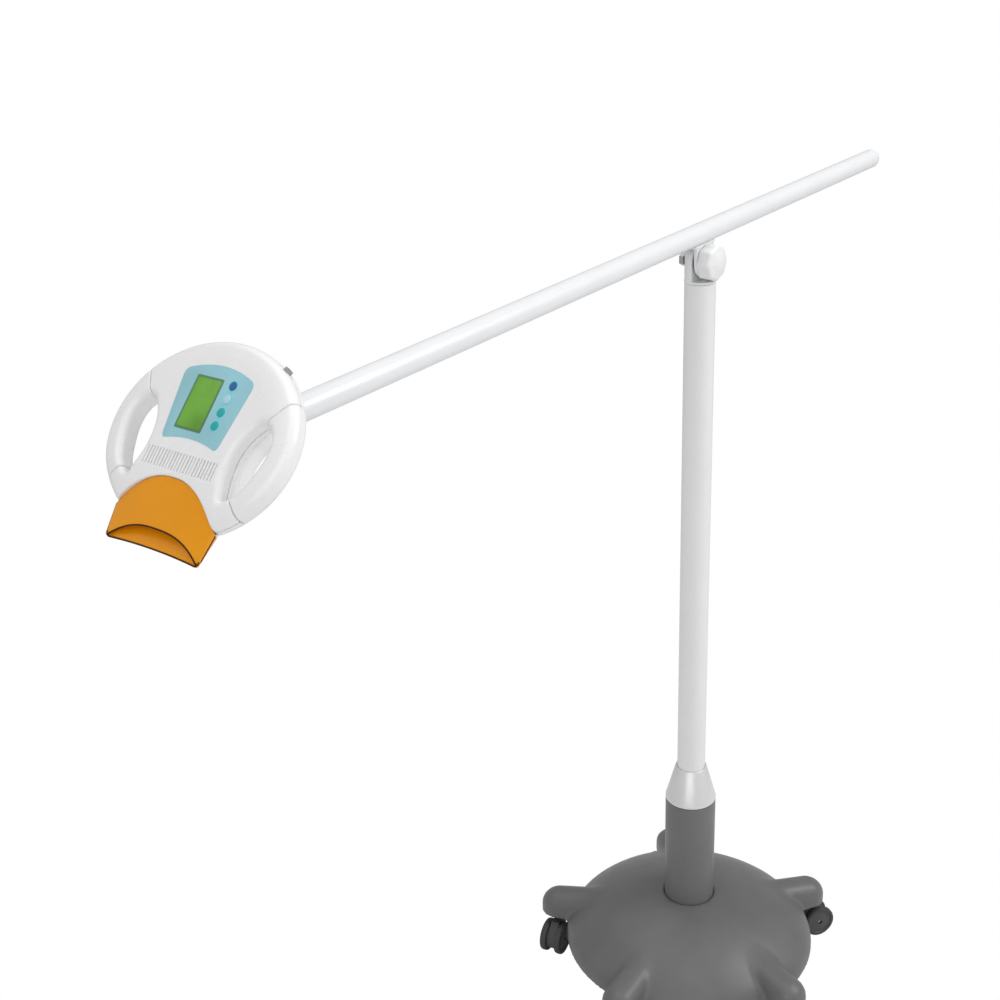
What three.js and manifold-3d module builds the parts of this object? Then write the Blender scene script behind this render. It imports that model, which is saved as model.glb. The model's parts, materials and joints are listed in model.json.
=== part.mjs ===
// Teeth whitening lamp: a tilting lamp head on a long balanced arm, on a post with a five-caster base.
// Millimetres, +Z up. The post stands on the floor plane, the arm lies along X and the lamp head is at -X.
import * as THREE from "three";
import { mergeVertices } from "three/addons/utils/BufferGeometryUtils.js";
import Module from "manifold-3d";

const wasm = await Module();
wasm.setup();

// Clearances shared by all pieces
const fit = {
  gap: 0.3,
  running: 0.15,
  overrun: 2,
  mergeTolerance: 0.001,
};

// Straight facets round a full turn, and steps along a curve
const facets = {
  bolt: 6,
  pillar: 10,
  pin: 12,
  rod: 16,
  sleeve: 20,
  tube: 24,
  channel: 28,
  plate: 30,
  dome: 40,
  capSteps: 3,
  hoodSteps: 3,
  forkSteps: 5,
  crownSteps: 10,
  sideSteps: 11,
  gapSteps: 18,
  ringSteps: 34,
};

// Base: cover with five hoods over a steel star plate
const base = {
  legCount: 5,
  firstLegTurn: THREE.MathUtils.degToRad(183),
  coverRadius: 176.7,
  coverWall: 3,
  rimHeight: 55,
  domeHeight: 133,
  hoodLength: 220,
  hoodStart: 92,
  hoodHalfWidth: 24,
  hoodHeight: 94,
  hoodSideHeight: 74,
  hoodRimHeight: 61,
  hoodSlopeShare: 0.13,
  stemCircle: 193,
  plateHeight: 62,
  plateThickness: 6,
  plateRadius: 150,
  legHalfWidth: 15,
  legRoundShare: 0.8,
  ballastRadius: 142,
  ballastThickness: 11.7,
};

// Section of the cover from its rim up to the socket, as shares of its radius and of its rise
const domeShares = [
  [1, 0.02], [0.996, 0.13], [0.966, 0.263], [0.898, 0.414],
  [0.767, 0.62], [0.597, 0.8], [0.398, 0.933], [0.205, 1],
];

// Caster: stem and fork in one casting, two wheels on an axle
const caster = {
  wheelRadius: 24,
  wheelWidth: 10,
  treadEdge: 2.5,
  forkHalfWidth: 6,
  trail: 18,
  axleRadius: 3,
  axleInset: 2.5,
  stemRadius: 5,
  bossRadius: 9,
  forkLeanShare: 0.7,
  forkDropShare: 0.5,
  turns: [205, 150, 0, 30, 80].map(THREE.MathUtils.degToRad),
};

// Socket that stands on the star plate and holds the post
const socket = {
  radius: 34.7,
  wall: 3,
  floorThickness: 10,
  topHeight: 292,
  boltRadius: 6,
  boltHeadRadius: 10,
  boltHeadThickness: 5,
  bushLength: 60,
  collarHeight: 52,
  collarTopRadius: 21.6,
  collarLip: 3,
};

// Post tube and its turning head
const post = {
  radius: 19.05,
  wall: 1.5,
  seamDrop: 60,
  spigotLength: 60,
  neckHeight: 2.2,
};

// Arm and the tilt joint under it
const arm = {
  radius: 12.7,
  wall: 1.5,
  axisHeight: 1089,
  rise: THREE.MathUtils.degToRad(1.72),
  rearReach: 462,
  frontReach: 690,
  capLength: 8,
  capSkirt: 15,
  pipRadius: 3,
  pipLength: 1.6,
  weightLength: 200,
  bushLength: 40,
  capRoundShare: 0.6,
};

const tilt = {
  pivotDrop: 34,
  tongueRadius: 17.5,
  earRadius: 19.05,
  halfWidth: 19.05,
  discRadius: 15,
  discThickness: 3,
  earThickness: 5,
  boltRadius: 5,
  boltHeadRadius: 9,
  boltHeadThickness: 6,
  saddleHalfLength: 23,
  saddleFloor: 1.8,
};

const knob = {
  radius: 22.5,
  lobeDepth: 1.8,
  lobeCount: 8,
  lobeSteps: 4,
  thickness: 22,
  crown: 6,
  crownRiseShare: 0.6,
  boreDepth: 12,
};

// Joint between the arm and the lamp head
const wrist = {
  pivotLead: 32,
  collarThickness: 7,
  spigotRadius: 8,
  spigotLength: 34,
  eyeRadius: 11,
  eyeHalfWidth: 6,
  cheekThickness: 5,
  pinRadius: 4,
  pinHead: 3,
  pinHeadRadius: 7,
  lockRadius: 14,
  lockThickness: 12,
  lockBore: 8,
  plateHalfLength: 22,
  plateHalfWidth: 16,
  plateThickness: 3,
  tongueShare: 0.8,
};

// Lamp head, in its own frame: +X towards the nose, +Y to the operator's right, +Z out of the panel
const head = {
  noseDown: THREE.MathUtils.degToRad(48),
  pivotX: -12.7,
  pivotDepth: 67.2,
  ringCentre: 25.4,
  ringHalfWidth: 103.5,
  ringHalfLength: 86.5,
  ringDepth: 22,
  ringRound: 6,
  frontX: 98,
  bellyDepth: 46,
  bellyTop: 10,
  bellyRound: 14,
  seamDepth: 12.5,
  wall: 2.8,
  noseSlopeStart: 58,
  noseBottomDepth: 26,
  noseTopDepth: 5,
  bellyBendShare: 0.3,
  wedgeReachShare: 1.4,
};

// Gap between handle and body, as shares of the ring's half width and half length about its centre
const gapShares = [
  [0.575, -0.2], [0.505, -0.06], [0.475, 0.1], [0.48, 0.26], [0.515, 0.42], [0.56, 0.53],
  [0.69, 0.4], [0.765, 0.2], [0.8, 0.0], [0.775, -0.16], [0.7, -0.255], [0.63, -0.26],
];

// Underside of the body: half widths and stations as shares of the same two sizes
const bellyShares = [
  [0.3, -0.86], [0.5, -0.66], [0.57, -0.46], [0.52, -0.22], [0.455, -0.06], [0.425, 0.1],
  [0.43, 0.26], [0.46, 0.42], [0.49, 0.6], [0.5, 0.84],
];

// Ends of each handle: the seam lines, as shares from the gap out past the ring
const handleRearShares = [[0.58, -0.12], [0.98, -0.8]];
const handleFrontShares = [[0.58, 0.42], [0.9, 0.82]];

const panel = {
  recess: 0.8,
  sheet: 0.8,
  rearX: -27,
  frontX: 36,
  rearHalfWidth: 41.7,
  frontHalfWidth: 33.2,
  rearBulge: 9,
  frontDip: 5,
  lcdY: -8.4,
  lcdWidth: 32,
  lcdLength: 49,
  lcdFrame: 4,
  moduleThickness: 5,
  keyY: 19.5,
  keyRadius: 4,
  keyProud: 0.9,
  keyTravel: 0.5,
  keyStations: [-21, -9, 3, 15],
  boardDepth: 10,
  boardThickness: 1.6,
  boardHalfWidth: 38,
  boardHalfLength: 28,
  pillarRadius: 2.5,
};

const vents = {
  count: 12,
  rearX: 44,
  frontX: 60,
  halfSpan: 41.5,
  slotWidth: 1.6,
};

const shield = {
  wall: 2.2,
  rearX: 58,
  seatX: 101,
  frontX: 127,
  apexX: 65,
  lipX: 109,
  archHalfWidth: 62.6,
  archBow: 2.3,
  lipBow: 2.6,
  rearHalfWidth: 66,
  frontHalfWidth: 57,
  edgeDepthRear: 11,
  edgeDepthFront: 12.9,
  crownRear: 9.5,
  crownFront: 2.4,
  keelRear: 19,
  keelFront: 1.6,
  cornerShare: 0.35,
  cornerInsetShare: 0.3,
  cornerDropShare: 0.7,
};

// Stations across an arch, as shares of its half width; the outer ones run past its sides
const archShares = [-1.15, -1, -0.8, -0.6, -0.4, -0.2, 0, 0.2, 0.4, 0.6, 0.8, 1, 1.15];

const light = {
  lensThickness: 3,
  lensHalfWidth: 30,
  lensTop: 10.5,
  lensBottom: 18.5,
  lensX: 94.5,
  boardX: 88,
  boardThickness: 1.6,
  sinkLength: 14,
  sinkFinCount: 7,
  sinkFinWidth: 3,
  sinkBase: 3,
  sinkFootHalf: 12,
  fanX: 26,
  fanRadius: 19,
  fanDepth: 24,
  fanThickness: 8,
  fanHubRadius: 7,
  fanPinRadius: 1.5,
  fanBladeCount: 7,
  fanBladeHalf: 0.5,
  fanFrameHalf: 21,
  fanFrameFloor: 2,
};

const inlet = {
  radius: 4,
  length: 9,
  proud: 2.5,
  bore: 2,
  boreDepth: 6,
  depth: 11,
  turn: THREE.MathUtils.degToRad(213.5),
};

// Finishes, one per kind of surface
function finish(color, roughness, metalness = 0, opacity = 1) {
  return new THREE.MeshStandardMaterial({ color, roughness, metalness, opacity, transparent: opacity < 1 });
}

const finishes = {
  baseGrey: finish(0x66686a, 0.6),
  socketGrey: finish(0x6c6e70, 0.45),
  wheelGrey: finish(0x3c3d3f, 0.7),
  steel: finish(0xb4b6b8, 0.35, 0.9),
  silver: finish(0xd0d2d4, 0.3, 0.7),
  post: finish(0xdcdedf, 0.4, 0.1),
  arm: finish(0xe8e9ea, 0.35, 0.1),
  headWhite: finish(0xf1f1f2, 0.35),
  knobWhite: finish(0xe4e5e6, 0.5),
  overlayBlue: finish(0x96c8dc, 0.4),
  displayGreen: finish(0x6eaa3c, 0.2),
  keyDark: finish(0x1f5f9a, 0.5),
  keyPale: finish(0x9fd2e6, 0.5),
  keyTeal: finish(0x219f9b, 0.5),
  board: finish(0x1d5b35, 0.6),
  black: finish(0x26272a, 0.6),
  amber: finish(0xde9216, 0.25, 0, 0.9),
  lens: finish(0xdfe9f2, 0.1, 0, 0.5),
};

// Solid helpers: three.js makes the shapes, the library only joins and cuts them
function toSolid(geometry) {
  const bare = geometry.clone();
  bare.deleteAttribute("normal");
  bare.deleteAttribute("uv");
  const merged = mergeVertices(bare, fit.mergeTolerance);
  const triVerts = new Uint32Array(merged.index.array);
  const vertProperties = merged.attributes.position.array;
  const solid = new wasm.Manifold(new wasm.Mesh({ numProp: 3, vertProperties, triVerts }));
  if (solid.volume() > 0) return solid;
  for (let i = 0; i < triVerts.length; i += 3) {
    [triVerts[i], triVerts[i + 1]] = [triVerts[i + 1], triVerts[i]];
  }
  return new wasm.Manifold(new wasm.Mesh({ numProp: 3, vertProperties, triVerts }));
}

function toGeometry(solid) {
  const mesh = solid.getMesh();
  const geometry = new THREE.BufferGeometry();
  geometry.setAttribute("position", new THREE.BufferAttribute(mesh.vertProperties, 3));
  geometry.setIndex(new THREE.BufferAttribute(mesh.triVerts, 1));
  const flat = geometry.toNonIndexed();
  flat.computeVertexNormals();
  return flat;
}

function join(...geometries) {
  return toGeometry(geometries.map(toSolid).reduce((whole, next) => whole.add(next)));
}

function cut(body, ...tools) {
  return toGeometry(tools.map(toSolid).reduce((whole, next) => whole.subtract(next), toSolid(body)));
}

function common(a, b) {
  return toGeometry(toSolid(a).intersect(toSolid(b)));
}

// Body of revolution about +Z from [radius, height] pairs
function turned(profile, segments = facets.tube) {
  const points = profile.map(([radius, height]) => new THREE.Vector2(radius, height));
  return new THREE.LatheGeometry(points, segments).rotateX(Math.PI / 2);
}

function rod(radius, low, high, segments = facets.tube) {
  return turned([[0, low], [radius, low], [radius, high], [0, high]], segments);
}

function ring(inner, outer, low, high, segments = facets.tube) {
  return turned([[inner, low], [outer, low], [outer, high], [inner, high], [inner, low]], segments);
}

function box(lowX, highX, lowY, highY, lowZ, highZ) {
  const made = new THREE.BoxGeometry(highX - lowX, highY - lowY, highZ - lowZ);
  return made.translate((lowX + highX) / 2, (lowY + highY) / 2, (lowZ + highZ) / 2);
}

// Plate of an XY outline between two heights, with rounded edges when round is given
function plate(points, low, high, { round = 0, rise = round, steps = 2, inset = 0, holes = [] } = {}) {
  const shape = new THREE.Shape(points.map(([x, y]) => new THREE.Vector2(x, y)));
  shape.holes = holes.map((hole) => new THREE.Path(hole.map(([x, y]) => new THREE.Vector2(x, y))));
  const options = { depth: high - low - 2 * rise, bevelEnabled: round > 0 || inset > 0 };
  Object.assign(options, { bevelThickness: rise, bevelSize: round, bevelOffset: -round - inset });
  options.bevelSegments = steps;
  return new THREE.ExtrudeGeometry(shape, options).translate(0, 0, low + rise);
}

// Turns an outline drawn in XY so that it stands in the XZ plane, with its thickness along Y
function stood(geometry) {
  return geometry.rotateX(Math.PI / 2);
}

function arc(centreX, centreY, radiusX, radiusY, from, to, steps) {
  const points = [];
  for (let i = 0; i <= steps; i += 1) {
    const turn = from + ((to - from) * i) / steps;
    points.push([centreX + radiusX * Math.cos(turn), centreY + radiusY * Math.sin(turn)]);
  }
  return points;
}

// Closed solid through cross-sections that all have the same number of points
function lofted(sections) {
  const count = sections[0].length;
  const positions = sections.flat(2);
  const faces = [];
  for (let s = 0; s + 1 < sections.length; s += 1) {
    for (let i = 0; i < count; i += 1) {
      const a = s * count + i;
      const b = s * count + ((i + 1) % count);
      faces.push(a, b, b + count, a, b + count, a + count);
    }
  }
  const last = (sections.length - 1) * count;
  const middles = [sections[0], sections[sections.length - 1]].map((section) => {
    return [0, 1, 2].map((axis) => section.reduce((sum, point) => sum + point[axis], 0) / count);
  });
  const low = sections.length * count;
  positions.push(...middles.flat());
  for (let i = 0; i < count; i += 1) {
    const next = (i + 1) % count;
    faces.push(low, next, i, low + 1, last + i, last + next);
  }
  const geometry = new THREE.BufferGeometry();
  geometry.setAttribute("position", new THREE.Float32BufferAttribute(positions, 3));
  geometry.setIndex(faces);
  return geometry.toNonIndexed();
}

function part(name, geometry, material) {
  const mesh = new THREE.Mesh(geometry, material.clone());
  mesh.name = name;
  return mesh;
}

function groupAt(x, y, z, ...children) {
  const group = new THREE.Group();
  group.position.set(x, y, z);
  if (children.length) group.add(...children);
  return group;
}

// Base pieces
const legTurns = Array.from({ length: base.legCount }, (_, i) => {
  return base.firstLegTurn + (i * 2 * Math.PI) / base.legCount;
});

// One hood: an arched ridge with a round outer end, lower towards the outside
function hood(inset, low) {
  const half = base.hoodHalfWidth - inset;
  const top = base.hoodHeight - inset;
  const side = base.hoodSideHeight;
  const endX = base.hoodLength - base.hoodHalfWidth;
  const arch = arc(0, side, half, top - side, 0, Math.PI / 2, facets.hoodSteps);
  const lathe = turned([[0, low], [half, low], ...arch], facets.pin).translate(endX, 0, 0);
  const mirrored = arch.map(([y, z]) => [-y, z]).reverse().slice(1);
  const outline = [[half, low], ...arch, ...mirrored, [-half, low]];
  const ridge = plate(outline, base.hoodStart, endX).rotateX(Math.PI / 2).rotateZ(Math.PI / 2);
  const whole = join(ridge, lathe);
  const slope = new THREE.Matrix4().set(
    1, 0, 0, 0,
    0, 1, 0, 0,
    -base.hoodSlopeShare, 0, 1, base.hoodSlopeShare * base.hoodLength,
    0, 0, 0, 1,
  );
  return common(whole.applyMatrix4(slope), box(0, 2 * base.hoodLength, -half, half, low,
    2 * base.domeHeight));
}

function coverDome(inset, low) {
  const rise = base.domeHeight - base.rimHeight;
  const crown = domeShares.map(([radiusShare, heightShare]) => [
    base.coverRadius * radiusShare - inset, base.rimHeight + rise * heightShare - inset,
  ]);
  return turned([[0, low], [base.coverRadius - inset, low], ...crown, [0, base.domeHeight - inset]],
    facets.dome);
}

function baseCover() {
  const low = base.rimHeight;
  const below = low - fit.overrun;
  let outer = coverDome(0, low);
  let inner = coverDome(base.coverWall, below);
  for (const turn of legTurns) {
    outer = join(outer, hood(0, base.hoodRimHeight).rotateZ(turn));
    inner = join(inner, hood(base.coverWall, below).rotateZ(turn));
  }
  const neck = rod(socket.radius + 2 * fit.gap, below, base.domeHeight + fit.overrun, facets.tube);
  return part("base_cover", cut(outer, inner, neck), finishes.baseGrey);
}

function basePlate() {
  const low = base.plateHeight;
  const high = low + base.plateThickness;
  let star = rod(base.plateRadius, low, high, facets.plate);
  for (const turn of legTurns) {
    const reach = base.stemCircle + base.legHalfWidth * base.legRoundShare;
    const leg = box(0, reach, -base.legHalfWidth, base.legHalfWidth, low, high).rotateZ(turn);
    star = join(star, leg);
  }
  const stemHole = rod(caster.stemRadius + fit.gap, low - fit.overrun, high + fit.overrun, facets.rod);
  const holes = legTurns.map((turn) => stemHole.clone().translate(base.stemCircle, 0, 0).rotateZ(turn));
  const boltHole = rod(socket.boltRadius + fit.gap, low - fit.overrun, high + fit.overrun, facets.rod);
  return part("base_plate", cut(star, boltHole, ...holes), finishes.steel);
}

function ballastWeight() {
  const high = base.plateHeight - fit.gap;
  const low = high - base.ballastThickness;
  const boltSpace = socket.boltHeadRadius + fit.overrun;
  return part("ballast_weight", ring(boltSpace, base.ballastRadius, low, high, facets.plate),
    finishes.black);
}

function socketPieces() {
  const foot = base.plateHeight + base.plateThickness + fit.gap;
  const floor = foot + socket.floorThickness;
  const inside = socket.radius - socket.wall;
  const bolt = socket.boltRadius;
  const tube = turned(
    [
      [bolt + fit.gap, foot], [socket.radius, foot], [socket.radius, socket.topHeight],
      [inside, socket.topHeight], [inside, floor], [bolt + fit.gap, floor], [bolt + fit.gap, foot],
    ],
    facets.tube,
  );
  const bushTop = socket.topHeight - fit.gap;
  const bush = ring(post.radius + fit.gap, inside - fit.gap, bushTop - socket.bushLength, bushTop,
    facets.channel);
  const underside = base.plateHeight - fit.gap;
  const head = rod(socket.boltHeadRadius, underside - socket.boltHeadThickness, underside, facets.bolt);
  const tieBolt = join(head, rod(bolt, underside - fit.gap, floor + socket.floorThickness, facets.rod));
  const low = socket.topHeight + fit.gap;
  const bore = post.radius + fit.gap;
  const collarTop = socket.topHeight + socket.collarHeight;
  const rim = collarTop - socket.collarLip;
  const collar = turned(
    [
      [bore, low], [socket.radius, low], [socket.radius, low + socket.collarLip],
      [socket.collarTopRadius, rim], [socket.collarTopRadius, collarTop],
      [bore, collarTop], [bore, low],
    ],
    facets.tube,
  );
  return [
    part("post_socket", tube, finishes.socketGrey),
    part("socket_bush", bush, finishes.black),
    part("tie_bolt", tieBolt, finishes.steel),
    part("socket_collar", collar, finishes.silver),
  ];
}

// Caster, at rest with its trail along +X of its own turned group
function casterPieces(index) {
  const bossTop = base.plateHeight - fit.gap;
  const axle = caster.wheelRadius;
  const forkTop = 2 * caster.wheelRadius + 2 * fit.gap;
  const forkRadius = caster.wheelRadius - caster.treadEdge * 2;
  const cheek = [
    [-caster.bossRadius, forkTop], [-caster.bossRadius, forkTop - caster.bossRadius],
    [caster.trail - forkRadius * caster.forkLeanShare, axle - forkRadius * caster.forkDropShare],
    ...arc(caster.trail, axle, forkRadius, forkRadius, -Math.PI / 2, Math.PI / 3, facets.forkSteps),
    [caster.trail, forkTop],
  ];
  const web = stood(plate(cheek, -caster.forkHalfWidth, caster.forkHalfWidth));
  const boss = rod(caster.bossRadius, forkTop - fit.gap, bossTop, facets.rod);
  const stemTop = base.plateHeight + base.plateThickness + fit.overrun;
  const stem = rod(caster.stemRadius, bossTop - fit.overrun, stemTop, facets.rod);
  const axleHole = rod(caster.axleRadius + fit.gap, -caster.bossRadius, caster.bossRadius, facets.pin)
    .rotateX(Math.PI / 2).translate(caster.trail, 0, axle);
  const fork = cut(join(web, boss, stem), axleHole);

  const inner = caster.forkHalfWidth + fit.gap;
  const outer = inner + caster.wheelWidth;
  const blind = outer - caster.axleInset;
  const edge = caster.treadEdge;
  const bore = caster.axleRadius + fit.gap;
  const profile = [
    [bore, inner], [caster.wheelRadius - edge, inner], [caster.wheelRadius, inner + edge],
    [caster.wheelRadius, outer - edge], [caster.wheelRadius - edge, outer], [0, outer],
    [0, blind], [bore, blind], [bore, inner],
  ];
  const wheel = turned(profile, facets.rod);
  const reach = blind - fit.gap;
  const pin = rod(caster.axleRadius, -reach, reach, facets.pin).rotateX(Math.PI / 2);
  const name = `caster_${index + 1}`;
  return groupAt(
    base.stemCircle, 0, 0,
    groupAt(0, 0, 0,
      part(`${name}_fork`, fork, finishes.wheelGrey),
      groupAt(caster.trail, 0, axle,
        part(`${name}_axle`, pin, finishes.steel),
        part(`${name}_wheel_a`, wheel.clone().rotateX(Math.PI / 2), finishes.wheelGrey),
        part(`${name}_wheel_b`, wheel.clone().rotateX(-Math.PI / 2), finishes.wheelGrey),
      ),
    ),
  );
}

function makeBase() {
  const group = new THREE.Group();
  group.add(baseCover(), basePlate(), ballastWeight(), ...socketPieces());
  legTurns.forEach((turn, index) => {
    const leg = new THREE.Group();
    const made = casterPieces(index);
    made.children[0].rotation.z = caster.turns[index];
    leg.rotation.z = turn;
    leg.add(made);
    group.add(leg);
  });
  return group;
}

// Post and tilt joint
function postTube() {
  const foot = base.plateHeight + base.plateThickness + socket.floorThickness + 2 * fit.gap;
  const seam = arm.axisHeight - post.seamDrop;
  return part("post_tube", ring(post.radius - post.wall, post.radius, foot, seam, facets.channel),
    finishes.post);
}

// Turning head: spigot in the post and the tongue on the far half of the tilt joint
function postHead(pivotHeight) {
  const low = arm.axisHeight - post.seamDrop + fit.gap;
  const inside = post.radius - post.wall - fit.gap;
  const neckTop = low + post.neckHeight;
  const spigot = rod(inside, low - post.spigotLength, neckTop, facets.channel);
  const neck = rod(post.radius, low, neckTop, facets.channel);
  const faceY = tilt.discThickness / 2 + fit.gap;
  const eye = rod(tilt.tongueRadius, faceY, tilt.halfWidth, facets.channel)
    .rotateX(Math.PI / 2).scale(1, -1, 1);
  const tongue = box(-tilt.tongueRadius, tilt.tongueRadius, faceY, tilt.halfWidth,
    neckTop - fit.overrun, pivotHeight);
  const round = rod(post.radius, low, pivotHeight + tilt.tongueRadius + fit.overrun, facets.channel);
  const upper = common(join(eye.translate(0, 0, pivotHeight), tongue), round);
  const hole = rod(tilt.boltRadius + fit.gap, 0, tilt.halfWidth + fit.overrun, facets.rod)
    .rotateX(-Math.PI / 2).translate(0, 0, pivotHeight);
  return part("post_head", cut(join(spigot, neck, upper), hole), finishes.post);
}

// Pieces on the tilt axis, drawn with the axis along +Z and the knob side up
function tiltPieces() {
  const face = tilt.discThickness / 2;
  const disc = ring(tilt.boltRadius + fit.gap, tilt.discRadius, -face, face, facets.tube);
  const far = -tilt.halfWidth - fit.gap;
  const head = rod(tilt.boltHeadRadius, far - tilt.boltHeadThickness, far, facets.bolt);
  const knobFace = face + tilt.earThickness + 2 * fit.gap;
  const boltEnd = knobFace + knob.boreDepth - fit.gap;
  const bolt = join(head, rod(tilt.boltRadius, far - fit.gap, boltEnd, facets.rod));
  const outline = Array.from({ length: knob.lobeCount * knob.lobeSteps }, (_, i) => {
    const turn = (i * 2 * Math.PI) / (knob.lobeCount * knob.lobeSteps);
    const reach = knob.radius - (knob.lobeDepth * (1 - Math.cos(turn * knob.lobeCount))) / 2;
    return [reach * Math.cos(turn), reach * Math.sin(turn)];
  });
  const high = knobFace + knob.thickness;
  const body = plate(outline, knobFace, high, { round: knob.crown,
    rise: knob.crown * knob.crownRiseShare, steps: 2 });
  const bore = rod(tilt.boltRadius + fit.gap, knobFace - fit.overrun, knobFace + knob.boreDepth,
    facets.rod);
  return [
    part("friction_disc", disc.rotateX(Math.PI / 2), finishes.black),
    part("pivot_bolt", bolt.rotateX(Math.PI / 2), finishes.steel),
    part("clamp_knob", cut(body, bore).rotateX(Math.PI / 2), finishes.knobWhite),
  ];
}

// Arm pieces, in a frame with +X along the arm and its origin at the tilt pivot
function armSaddle() {
  const faceY = -tilt.discThickness / 2 - fit.gap;
  const outY = faceY - tilt.earThickness;
  const high = tilt.pivotDrop;
  const bed = tilt.tongueRadius + tilt.saddleFloor;
  const eye = rod(tilt.earRadius, -faceY, -outY, facets.tube).rotateX(Math.PI / 2);
  const cheek = box(-tilt.earRadius, tilt.earRadius, outY, faceY, 0, bed + fit.overrun);
  const half = tilt.saddleHalfLength;
  const block = box(-half, half, outY, tilt.halfWidth, bed, high);
  const channel = rod(arm.radius + fit.gap, -half - fit.overrun, half + fit.overrun, facets.channel)
    .rotateY(Math.PI / 2).translate(0, 0, high);
  const hole = rod(tilt.boltRadius + fit.gap, -fit.overrun, tilt.halfWidth + fit.overrun, facets.rod)
    .rotateX(Math.PI / 2);
  return part("arm_saddle", cut(join(eye, cheek, block), channel, hole), finishes.arm);
}

// Moves a solid drawn along +Z so that it lies along the arm
function alongArm(geometry) {
  return geometry.rotateY(Math.PI / 2).translate(0, 0, tilt.pivotDrop);
}

function armPieces() {
  const inside = arm.radius - arm.wall;
  const tube = ring(inside, arm.radius, -arm.frontReach, arm.rearReach, facets.tube);
  const seat = arm.rearReach + fit.gap;
  const skirt = inside - fit.gap;
  const capRound = arm.radius * arm.capRoundShare;
  const capEnd = seat + arm.capLength;
  const pipEnd = capEnd + arm.pipLength;
  const cap = turned(
    [
      [0, seat - arm.capSkirt], [skirt, seat - arm.capSkirt], [skirt, seat], [arm.radius, seat],
      ...arc(arm.radius - capRound, seat, capRound, arm.capLength, 0, Math.PI / 2, facets.capSteps),
      [arm.pipRadius, capEnd], [arm.pipRadius, pipEnd], [0, pipEnd],
    ],
    facets.tube,
  );
  const weightEnd = seat - arm.capSkirt - fit.gap;
  const weight = rod(skirt, weightEnd - arm.weightLength, weightEnd, facets.sleeve);
  const bush = ring(wrist.spigotRadius + fit.gap, skirt, -arm.frontReach,
    -arm.frontReach + arm.bushLength, facets.sleeve);
  return [
    part("arm_tube", alongArm(tube), finishes.arm),
    part("arm_end_cap", alongArm(cap), finishes.arm),
    part("arm_counterweight", alongArm(weight), finishes.steel),
    part("arm_front_bush", alongArm(bush), finishes.black),
  ];
}

// Wrist pieces, in a frame at the wrist pivot whose +X is the arm's direction
function wristKnuckle() {
  const reach = wrist.pivotLead;
  const collarFar = reach - fit.gap;
  const collarNear = collarFar - wrist.collarThickness;
  const collar = rod(arm.radius, collarNear, collarFar, facets.tube);
  const spigot = rod(wrist.spigotRadius, collarFar - fit.gap, reach + wrist.spigotLength, facets.sleeve);
  const eye = rod(wrist.eyeRadius, -wrist.eyeHalfWidth, wrist.eyeHalfWidth, facets.tube)
    .rotateX(Math.PI / 2);
  const half = wrist.eyeRadius * wrist.tongueShare;
  const tongue = box(0, collarNear + fit.overrun / 2, -wrist.eyeHalfWidth, wrist.eyeHalfWidth, -half, half);
  const hole = rod(wrist.pinRadius + fit.gap, -wrist.eyeRadius, wrist.eyeRadius, facets.rod)
    .rotateX(Math.PI / 2);
  const shaft = join(collar, spigot).rotateY(Math.PI / 2);
  return part("wrist_knuckle", cut(join(shaft, eye, tongue), hole), finishes.arm);
}

// Pin and lock knob, drawn along +Z with the knob up
function wristPin() {
  const outside = wrist.eyeHalfWidth + 2 * fit.gap + wrist.cheekThickness;
  const low = -outside - fit.gap;
  const head = rod(wrist.pinHeadRadius, low - wrist.pinHead, low, facets.bolt);
  const knobFace = outside + fit.gap;
  const shaft = rod(wrist.pinRadius, low - fit.gap, knobFace + wrist.lockBore - fit.gap, facets.rod);
  const grip = rod(wrist.lockRadius, knobFace, knobFace + wrist.lockThickness, facets.pillar);
  const bore = rod(wrist.pinRadius + fit.gap, knobFace - fit.overrun, knobFace + wrist.lockBore,
    facets.rod);
  return [
    part("wrist_pin", join(head, shaft).rotateX(-Math.PI / 2), finishes.steel),
    part("wrist_lock_knob", cut(grip, bore).rotateX(-Math.PI / 2), finishes.knobWhite),
  ];
}

// Bracket on the back of the head, in the head's frame
function headBracket() {
  const top = -head.bellyDepth - fit.gap;
  const low = top - wrist.plateThickness;
  const back = box(
    head.pivotX - wrist.plateHalfLength, head.pivotX + wrist.plateHalfLength,
    -wrist.plateHalfWidth, wrist.plateHalfWidth, low, top,
  );
  const inner = wrist.eyeHalfWidth + 2 * fit.gap;
  const outer = inner + wrist.cheekThickness;
  const cheek = join(
    rod(wrist.eyeRadius, inner, outer, facets.tube).rotateX(Math.PI / 2),
    box(-wrist.eyeRadius, wrist.eyeRadius, -outer, -inner, 0, head.pivotDepth + low + fit.overrun / 2),
  );
  const hole = rod(wrist.pinRadius + fit.gap, -outer - fit.overrun, outer + fit.overrun, facets.rod)
    .rotateX(Math.PI / 2);
  const pair = join(cheek, cheek.clone().translate(0, inner + outer, 0));
  const cheeks = cut(pair, hole).translate(head.pivotX, 0, -head.pivotDepth);
  return part("head_bracket", join(back, cheeks), finishes.headWhite);
}

// Outlines of the lamp head
const headFrame = ([widthShare, lengthShare]) => [
  head.ringCentre + lengthShare * head.ringHalfLength,
  widthShare * head.ringHalfWidth,
];

const mirrored = (points) => points.map(([x, y]) => [x, -y]).reverse();

function smooth(points, divisions, closed) {
  const curve = new THREE.CatmullRomCurve3(points.map(([x, y]) => new THREE.Vector3(x, y, 0)), closed);
  const found = curve.getPoints(divisions);
  if (closed) found.pop();
  return found.map((point) => [point.x, point.y]);
}

function ringOutline() {
  const frontTurn = Math.acos((head.frontX - head.ringCentre) / head.ringHalfLength);
  return arc(head.ringCentre, 0, head.ringHalfLength, head.ringHalfWidth, frontTurn,
    2 * Math.PI - frontTurn, facets.ringSteps);
}

function bellyOutline() {
  const side = smooth(bellyShares.map(headFrame), facets.sideSteps, false);
  return [...side, ...mirrored(side)];
}

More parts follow.
